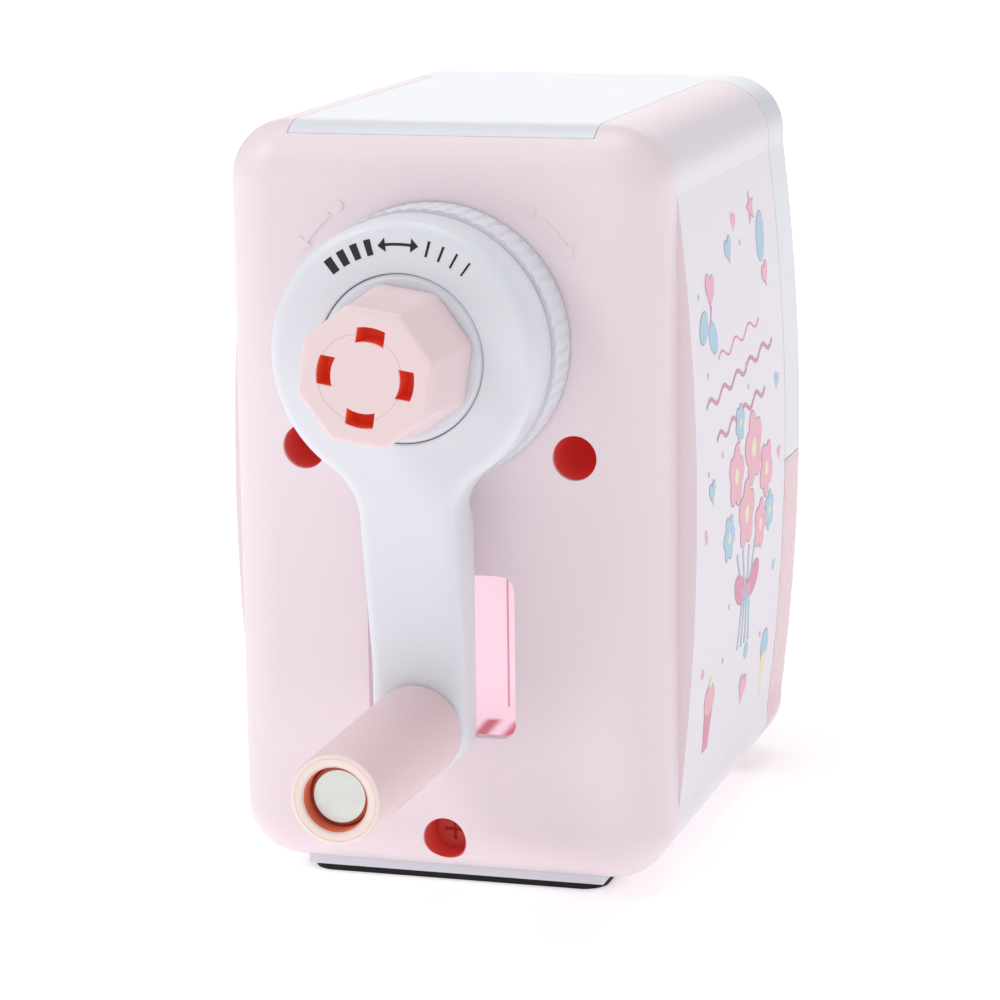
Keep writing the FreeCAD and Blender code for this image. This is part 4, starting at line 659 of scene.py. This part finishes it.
def grip_piece():
    tip = grip_low.y
    base = grip_high.y
    mouth = 4.82 * MM
    bore = 3.16 * MM
    outer = GRIP_RADIUS
    floor = tip + 7.0 * MM
    profile = [(bore, floor), (mouth - 0.3 * MM, floor), (mouth, tip + 6.7 * MM)]
    mouth_edges = range(0, 5)
    profile += [(mouth, tip + 3.0 * MM), (mouth, tip + 0.6 * MM)]
    profile += [(mouth + 0.15 * MM, tip + 0.2 * MM), (mouth + 0.45 * MM, tip)]
    rim_start = len(profile) - 1
    profile += [(outer - 0.95 * MM, tip), (outer - 0.85 * MM, tip + 0.12 * MM), (outer - 0.75 * MM, tip)]
    rim_end = len(profile) + 2
    soft = 0.75 * MM
    profile += [(outer - soft * (1 - math.sin(a)), tip + soft * (1 - math.cos(a))) for a in quarter(7, 1)]
    root = GRIP_ROOT
    profile += [(outer + (root - outer) * t, tip + (base - tip) * t) for t in (0.3, 0.7)]
    soft = 0.8 * MM
    profile += [(root - soft * (1 - math.cos(a)), base - soft * (1 - math.sin(a))) for a in quarter(6)]
    profile += [(bore, base)]
    item = spun("grip_smooth", profile, GRIP_Z, FINISHES["pale_pink"])
    item.data.materials.append(GRIP_MOUTH_PAINTED_GLOW)
    item.data.materials.append(GRIP_RIM_PAINTED_HIGHLIGHT)
    total = len(profile)
    for i, face in enumerate(item.data.polygons):
        edge = i % total
        # faces inside the mouth: painted glow
        if edge in mouth_edges:
            face.material_index = 1
        # faces of the flat front rim: painted highlight
        elif rim_start <= edge < rim_end:
            face.material_index = 2
    keep_edges(item, 42)
    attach(item, "grip")
    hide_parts("grip")
    return item


# ---------------------------------------------------------------- knob
def octagon(reach, rounding, turn, per_corner=7, per_side=4):
    """Rounded octagon whose sharp corners would lie at reach."""
    middle = reach - rounding / math.cos(math.pi / 8)
    points = []
    for k in range(8):
        a = turn + math.radians(22.5 + 45 * k)
        centre = Vector((middle * math.cos(a), middle * math.sin(a)))
        for i in range(per_corner):
            b = a - math.pi / 8 + math.pi / 4 * i / (per_corner - 1)
            points.append(tuple(centre + Vector((math.cos(b), math.sin(b))) * rounding))
        last = Vector(points[-1])
        b = a + math.pi / 8
        following = turn + math.radians(22.5 + 45 * (k + 1))
        next_centre = Vector((middle * math.cos(following), middle * math.sin(following)))
        target = next_centre + Vector((math.cos(b), math.sin(b))) * rounding
        for i in range(1, per_side):
            points.append(tuple(last.lerp(target, i / per_side)))
    return points


def slot_loop(middle, half, inner, outer):
    """Curved slot with parallel ends, counter-clockwise."""
    points = []
    for radius, way in ((outer, 1), (inner, -1)):
        for i in range(15):
            a = middle + way * math.asin(half / radius) * (i / 7 - 1)
            points.append((radius * math.cos(a), radius * math.sin(a)))
    return points


def knob_piece():
    turn = math.radians(-8.7)
    edge = 0.16 * MM
    tip = knob_low.y
    base = knob_high.y
    length = base - tip
    reach_tip = 11.24 * MM
    reach_base = 12.1 * MM
    round_tip = 0.9 * MM
    sides = []
    for t in (0.12, 0.25, 0.4, 0.52, 0.6, 0.68, 0.76, 0.84, 0.9, 0.96):
        flare = max(0.0, (t - 0.5) / 0.5)
        eased = flare * flare * (3 - 2 * flare)
        waist = 0.1 * MM * math.sin(math.pi * min(1, t / 0.6))
        reach = reach_tip - waist + (reach_base - reach_tip) * eased
        sides.append((tip + length * t, reach, (1.9 + 0.9 * eased) * MM))
    sides.append((base - 0.3 * MM, reach_base, 2.8 * MM))
    sides.append((base, reach_base - 0.35 * MM, 2.8 * MM))
    rows = []
    for i in range(8):
        a = math.pi / 2 * i / 7
        y = tip + round_tip * (1 - math.sin(a))
        inward = round_tip * (1 - math.cos(a)) / math.cos(math.pi / 8)
        rows.append((y, reach_tip - inward, 1.9 * MM - 0.4 * inward))
    rows.reverse()
    rows += sides

    face_loop = octagon(rows[0][1], rows[0][2], turn)
    slots_at = [turn + math.pi / 2 * k for k in range(4)]
    half, inner, outer = 2.2 * MM, 5.45 * MM, 7.65 * MM
    openings = [slot_loop(a, half + edge, inner - edge, outer + edge) for a in slots_at]
    narrower = [slot_loop(a, half, inner, outer) for a in slots_at]
    holes = [list(reversed(loop)) for loop in openings]
    flat, kept, order = filled(face_loop, holes, [], 1.3 * MM)
    points = [(x, tip, CRANK_Z + z) for x, z in flat]
    faces = list(kept)
    red = []
    rings = [[order[i] for i in range(len(face_loop))]]
    for y, reach, rounding in rows[1:]:
        start = len(points)
        points.extend((x, y, CRANK_Z + z) for x, z in octagon(reach, rounding, turn))
        rings.append(list(range(start, start + len(face_loop))))
    for first, second in zip(rings, rings[1:]):
        faces.extend(bridged(first, second))
    first = len(face_loop)
    for loop, narrow in zip(holes, narrower):
        ring = [order[first + i] for i in range(len(loop))]
        first += len(loop)
        loop = list(reversed(narrow))
        start = len(points)
        points.extend((x, tip + 0.12 * MM, CRANK_Z + z) for x, z in loop)
        lip = list(range(start, start + len(loop)))
        faces.extend(bridged(ring, lip))
        ring = lip
        start = len(points)
        points.extend((x, tip + 5.0 * MM, CRANK_Z + z) for x, z in loop)
        deep = list(range(start, start + len(loop)))
        for quad in bridged(ring, deep):
            red.append(len(faces))
            faces.append(quad)
        half = len(deep) // 2
        for i in range(half - 1):
            red.append(len(faces))
            faces.append((deep[i], deep[i + 1], deep[len(deep) - 2 - i], deep[len(deep) - 1 - i]))
    back = rings[-1]
    start = len(points)
    corner_x, corner_z = octagon(1, 0.1, turn)[0]
    bore = circle(2.0 * MM, len(back), math.atan2(corner_z, corner_x))
    bore = [(x, base, CRANK_Z + z) for x, z in bore]
    points.extend(bore)
    bore_ring = list(range(start, start + len(back)))
    faces.extend(bridged(back, bore_ring))
    start = len(points)
    points.extend((x, tip + 3.4 * MM, z) for x, _, z in bore)
    deep = list(range(start, start + len(back)))
    faces.extend(bridged(bore_ring, deep))
    faces.append(tuple(deep))
    item = mesh_object("knob_smooth", points, faces, knob_material())
    # the slot walls and floors take the painted glow material
    item.data.materials.append(HOLLOW_PAINTED_GLOW)
    for number in red:
        item.data.polygons[number].material_index = 1
    flip_outward(item)
    keep_edges(item, 34)
    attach(item, "knob")
    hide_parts("adjuster_knob")
    return item


# ---------------------------------------------------------------- prints and raised marks
def ring_loop(inner, outer, start, end, steps=20):
    """A curved bar between two angles in degrees, measured from straight up, clockwise."""
    points = []
    for i in range(steps + 1):
        a = math.radians(90 - end + (end - start) * i / steps)
        points.append((outer * math.cos(a), outer * math.sin(a)))
    for i in range(steps + 1):
        a = math.radians(90 - start - (end - start) * i / steps)
        points.append((inner * math.cos(a), inner * math.sin(a)))
    return points


def polar(radius, angle):
    a = math.radians(90 - angle)
    return (radius * math.cos(a), radius * math.sin(a))


def plate_marks(name, loops, place, finish, thickness, body, spacing=3.0 * MM):
    """Thin printed or raised shapes: place(u, v, lift) gives a point on, or lift above, the surface."""
    points = []
    faces = []
    for loop in loops:
        area = sum(loop[i - 1][0] * p[1] - p[0] * loop[i - 1][1] for i, p in enumerate(loop))
        loop = loop if area > 0 else list(reversed(loop))
        flat, kept, order = filled(loop, [], [], spacing)
        start = len(points)
        points.extend(place(u, v, thickness) for u, v in flat)
        faces.extend(tuple(start + i for i in face) for face in kept)
        rim = [start + order[i] for i in range(len(loop))]
        low = len(points)
        points.extend(place(u, v, -0.02 * MM) for u, v in loop)
        faces.extend(bridged(list(range(low, low + len(loop))), rim))
    item = mesh_object(name, points, faces, finish, smooth=False)
    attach(item, body)
    return item


def disc_marks():
    """Thick-to-thin symbols with a double arrow, printed round the top of the crank disc."""

    def place(u, v, lift):
        return (u, arm_low.y - lift, CRANK_Z + v)

    middle = 17.7 * MM
    line_half = 0.22 * MM
    head_half = 1.1 * MM
    bar_half = 1.25 * MM
    loops = [ring_loop(middle - line_half, middle + line_half, -7.6, 7.6)]
    for side in (-1, 1):
        head = side * 6.6
        sides = [polar(middle + head_half, head), polar(middle - head_half, head)]
        loops.append([polar(middle, side * 10.6)] + sides)
    for side, width in ((-1, 1.05), (1, 0.42)):
        for place_at in (15.4, 22.6, 29.8, 37.0):
            wide = width * (1.0 + (0.10 if side < 0 else -0.10) * (place_at - 15) / 8)
            half = math.degrees(wide / 2 * MM / middle)
            at = side * place_at
            loops.append(ring_loop(middle - bar_half, middle + bar_half, at - half, at + half, 4))
    return plate_marks("disc_symbols", loops, place, INK_BLACK, 0.04 * MM, "crank")


def face_marks():
    """Raised curved arrows on the face beside the lock ring: turn to release, turn to lock."""

    def place(u, v, lift):
        return (u, FACE_Y - lift, CRANK_Z + v)

    loops = []
    for middle, tip in ((-48.0, -60.0), (48.0, 60.0)):
        start, end = middle - 6.5, middle + 6.5
        radius = 26.2 * MM
        loops.append(ring_loop(radius - 0.35 * MM, radius + 0.35 * MM, start, end))
        side = 1 if tip > 0 else -1
        edge = end if side > 0 else start
        head_half = 1.3 * MM
        sides = [polar(radius + head_half, edge), polar(radius - head_half, edge)]
        loops.append([polar(radius, edge + side * 4.2)] + sides)
        dot = polar(radius, middle - side * 11.0)
        loops.append([(dot[0] + x, dot[1] + y) for x, y in circle(0.8 * MM, 20)])
    finish = FINISHES["pink_shell"]
    return plate_marks("face_arrows", loops, place, finish, 0.22 * MM, "housing")


# side panel: u runs back from the panel's front edge, v is the height above the table
PANEL_FRONT = FACE_Y + 12.7 * MM
PANEL_BACK = 30.3 * MM
BOW_MIDDLE = 62.3 * MM
BOW_REACH = 50.0 * MM
BOW = 3.1 * MM
BOW_RADIUS = (BOW_REACH**2 + BOW**2) / (2 * BOW)


def on_side(u, v, lift):
    sag = BOW_RADIUS - math.sqrt(BOW_RADIUS**2 - (v - BOW_MIDDLE) ** 2)
    return (shell_high.x - sag + lift, PANEL_FRONT + u, v)


def heart(u, v, size, tilt=0.0):
    points = []
    for i in range(40):
        t = 2 * math.pi * i / 40
        x = 16 * math.sin(t) ** 3
        y = 13 * math.cos(t) - 5 * math.cos(2 * t) - 2 * math.cos(3 * t) - math.cos(4 * t)
        points.append((x / 32 * size, y / 32 * size))
    return turned(points, u, v, tilt)


def star(u, v, size, tilt=0.0, arms=5, depth=0.48):
    points = []
    for i in range(arms * 2):
        r = size / 2 * (1.0 if i % 2 == 0 else depth)
        a = math.pi / 2 + math.pi * i / arms
        points.append((r * math.cos(a), r * math.sin(a)))
    return turned(points, u, v, tilt)


def blossom(u, v, size, tilt=0.0, petals=5):
    points = []
    for i in range(petals * 12):
        a = 2 * math.pi * i / (petals * 12)
        r = size / 2 * (0.72 + 0.28 * abs(math.cos(petals * a / 2)))
        points.append((r * math.cos(a), r * math.sin(a)))
    return turned(points, u, v, tilt)


def oval(u, v, width, height, tilt=0.0, count=28):
    angles = [2 * math.pi * i / count for i in range(count)]
    return turned([(width / 2 * math.cos(a), height / 2 * math.sin(a)) for a in angles], u, v, tilt)


def stroke(points, width):
    """A thin band along points."""
    left = []
    right = []
    for i, p in enumerate(points):
        before = Vector(points[max(i - 1, 0)])
        after = Vector(points[min(i + 1, len(points) - 1)])
        side = (after - before).normalized()
        side = Vector((-side.y, side.x)) * width / 2
        left.append(tuple(Vector(p) + side))
        right.append(tuple(Vector(p) - side))
    return right + list(reversed(left))


def turned(points, u, v, tilt):
    cos = math.cos(math.radians(tilt))
    sin = math.sin(math.radians(tilt))
    return [(u + x * cos - y * sin, v + x * sin + y * cos) for x, y in points]


def wave(u, v, length, height, turns, tilt=0.0, width=0.4 * MM):
    line = [(length * i / 60, height * math.sin(2 * math.pi * turns * i / 60)) for i in range(61)]
    return stroke(turned(line, u, v, tilt), width)


def bordered(loops, width, smallest):
    """Slightly larger copies of the larger loops, for the ink line round them."""
    made = []
    for loop in loops:
        reach = max(p[1] for p in loop) - min(p[1] for p in loop)
        if reach < smallest:
            continue
        area = sum(loop[i - 1][0] * p[1] - p[0] * loop[i - 1][1] for i, p in enumerate(loop))
        made.append(offset_loop(loop if area > 0 else list(reversed(loop)), -width))
    return made


def side_prints():
    """Hearts, flowers, stars and sweets in pink and pale blue, spread over the right panel."""
    pink = []
    rose = []
    blue = []
    cream = []
    span = (PANEL_BACK - PANEL_FRONT) / MM

    def at(share):
        return span * share * MM

    # small sprigs in the upper corners
    blue += [heart(at(0.44), 100 * MM, 4.6 * MM, 15), oval(at(0.80), 99 * MM, 5.6 * MM, 8.5 * MM, -18)]
    pink += [
        heart(at(0.52), 104 * MM, 3.4 * MM, -12),
        star(at(0.72), 104.5 * MM, 5.2 * MM, 10),
        heart(at(0.82), 92.5 * MM, 4.4 * MM, 20),
    ]
    # a balloon and a ribbon bow
    pink += [heart(at(0.22), 95.5 * MM, 6.0 * MM, -10)]
    blue += [
        oval(at(0.13), 90.0 * MM, 6.2 * MM, 4.4 * MM, 30),
        oval(at(0.22), 87.5 * MM, 6.2 * MM, 4.4 * MM, -40),
    ]
    rose += [stroke([(at(0.22), 92.6 * MM), (at(0.205), 90.5 * MM), (at(0.215), 88.2 * MM)], 0.35 * MM)]
    # three wavy ribbons
    for row, (start, length, turns) in enumerate(((0.26, 0.46, 3), (0.12, 0.74, 5), (0.22, 0.54, 4))):
        height = (83.5 - 6.4 * row) * MM
        rose.append(wave(at(start), height, at(length), 0.85 * MM, turns, 4, 0.36 * MM))
    # scattered small hearts
    blue += [
        heart(at(0.16), 63 * MM, 4.0 * MM, 12),
        heart(at(0.90), 73 * MM, 3.4 * MM, -15),
        oval(at(0.9), 40 * MM, 2.0 * MM, 2.0 * MM),
    ]
    pink += [
        star(at(0.10), 56 * MM, 2.6 * MM, 0),
        heart(at(0.92), 60 * MM, 2.6 * MM, 8),
        oval(at(0.12), 33 * MM, 1.8 * MM, 1.8 * MM),
    ]
    # a bunch of flowers tied with a bow
    centre = at(0.56)
    # across from the middle, height, size (all in mm) and tilt
    flowers = ((-9, 62, 11, 10), (4, 64.5, 13, 30), (14, 59, 10, 55), (-1, 54, 12, 20), (10, 50, 9, 5))
    for du, dv, size, tilt in flowers:
        pink.append(blossom(centre + du * MM, dv * MM, size * MM, tilt))
        cream.append(oval(centre + du * MM, dv * MM, size * 0.26 * MM, size * 0.26 * MM))
    for du, dv, size, tilt in ((-14, 52.5, 8, 0), (17, 51, 7, 25), (-6, 70.5, 6.5, 12)):
        blue.append(blossom(centre + du * MM, dv * MM, size * MM, tilt, 6))
        cream.append(oval(centre + du * MM, dv * MM, size * 0.24 * MM, size * 0.24 * MM))
    for du in (-7.5, -3.0, 1.5, 6.0):
        top = (centre + du * MM, 48 * MM)
        knot = (centre + (1 + du * 0.35) * MM, 40 * MM)
        foot = (centre + (1.2 + du * 0.6) * MM, 31 * MM)
        blue.append(stroke([top, knot, foot], 0.7 * MM))
    rose += [
        oval(centre - 4.4 * MM, 41.5 * MM, 8.4 * MM, 4.6 * MM, -24),
        oval(centre + 6.2 * MM, 41.5 * MM, 8.4 * MM, 4.6 * MM, 24),
        oval(centre + 0.9 * MM, 40.6 * MM, 3.2 * MM, 3.6 * MM),
    ]
    # sweets along the bottom: a cup cake, a wrapped sweet and an ice cone
    pink += [oval(at(0.22), 27.0 * MM, 7.0 * MM, 5.2 * MM), heart(at(0.62), 22.5 * MM, 5.4 * MM, -12)]
    rose += [[(at(0.18), 25.0 * MM), (at(0.195), 18.5 * MM), (at(0.245), 18.5 * MM), (at(0.26), 25.0 * MM)]]
    blue += [oval(at(0.86), 26.0 * MM, 5.6 * MM, 5.6 * MM), oval(at(0.62), 29.0 * MM, 3.0 * MM, 3.0 * MM)]
    cream += [
        [(at(0.825), 24.6 * MM), (at(0.86), 16.5 * MM), (at(0.895), 24.6 * MM)],
        oval(at(0.22), 30.0 * MM, 2.0 * MM, 2.0 * MM),
    ]
    # small dots
    for _ in range(16):
        across = at(RANDOM.uniform(0.06, 0.94))
        dot = oval(across, RANDOM.uniform(18, 108) * MM, 1.1 * MM, 1.1 * MM, count=12)
        RANDOM.choice((pink, blue)).append(dot)

    lines = bordered(pink + blue + rose, 0.2 * MM, 3.6 * MM)
    layers = (
        (lines, INK_LINE, "print_lines", 0.03),
        (rose, INK_ROSE, "print_rose", 0.05),
        (blue, INK_BLUE, "print_blue", 0.06),
        (pink, INK_PINK, "print_pink", 0.07),
        (cream, INK_CREAM, "print_cream", 0.09),
    )
    for loops, ink, name, lift in layers:
        plate_marks(name, loops, on_side, ink, lift * MM, "housing", 2.5 * MM)


# ---------------------------------------------------------------- studio
def studio():
    floor_mesh = bpy.data.meshes.new("floor")
    size = 14.0
    corners = [(-size, -size, 0), (size, -size, 0), (size, size, 0), (-size, size, 0)]
    floor_mesh.from_pydata(corners, [], [(0, 1, 2, 3)])
    floor = bpy.data.objects.new("floor", floor_mesh)
    bpy.context.scene.collection.objects.link(floor)
    floor.location.z = cad_low.z - 0.05 * MM
    paper, tree, bsdf = material("studio_paper")
    surface(tree, bsdf, (246, 246, 247), 0.004, 0.9, 0.04, 0.03, 700.0)
    spot = add(tree, "ShaderNodeVectorMath", operation="LENGTH")
    tree.links.new(add(tree, "ShaderNodeTexCoord").outputs["Object"], spot.inputs[0])
    far = ramp(tree, spot.outputs["Value"], 0.12, 1.2)
    light = mixed(tree, far, (0.38, 0.38, 0.38, 1), (0.66, 0.66, 0.66, 1))
    connect(tree, light, bsdf.inputs["Emission Color"])
    bsdf.inputs["Emission Strength"].default_value = 1.0
    floor_mesh.materials.append(paper)

    world = bpy.data.worlds.new("studio")
    bpy.context.scene.world = world
    world.use_nodes = True
    back = world.node_tree.nodes["Background"]
    back.inputs["Color"].default_value = (1.0, 1.0, 1.0, 1.0)
    back.inputs["Strength"].default_value = 0.45

    centre = Vector((0, 0, 0.06))
    for name, spot, size, power, tint in (
        ("key", (-0.95, -0.75, 1.05), 0.7, 5.5, (1.0, 0.99, 0.985)),
        ("right_fill", (1.35, 0.25, 0.6), 0.9, 0.6, (0.985, 0.99, 1.0)),
        ("top", (0.0, 0.05, 1.5), 1.0, 6.0, (1.0, 1.0, 1.0)),
        ("rear", (-0.3, 1.4, 0.5), 0.9, 2.0, (1.0, 1.0, 1.0)),
    ):
        lamp = bpy.data.lights.new(name, "AREA")
        lamp.shape = "DISK"
        lamp.size = size
        lamp.energy = power
        lamp.color = tint
        holder = bpy.data.objects.new(name, lamp)
        holder.location = spot
        holder.rotation_mode = "QUATERNION"
        holder.rotation_quaternion = (centre - Vector(spot)).to_track_quat("-Z", "Y")
        bpy.context.scene.collection.objects.link(holder)
    bpy.context.scene.view_settings.view_transform = "Standard"


def camera():
    yaw, pitch, roll = (math.radians(a) for a in (16.565, 11.823, -0.739))
    forward = Vector((-math.sin(yaw) * math.cos(pitch), math.cos(yaw) * math.cos(pitch), -math.sin(pitch)))
    right = Vector((math.cos(yaw), math.sin(yaw), 0))
    up = right.cross(forward)
    right, up = right * math.cos(roll) + up * math.sin(roll), up * math.cos(roll) - right * math.sin(roll)
    lens = bpy.data.cameras.new("camera")
    lens.sensor_width = 36.0
    lens.lens = 132.1
    lens.clip_start = 0.01
    lens.clip_end = 20.0
    holder = bpy.data.objects.new("camera", lens)
    bpy.context.scene.collection.objects.link(holder)
    turn = Matrix((right, up, -forward)).transposed()
    holder.matrix_world = Matrix.Translation((0.1719, -0.5928, 0.1838)) @ turn.to_4x4()
    bpy.context.scene.camera = holder


paint_nodes()
crank_piece()
knob_piece()
grip_piece()
disc_marks()
face_marks()
side_prints()
studio()
camera()
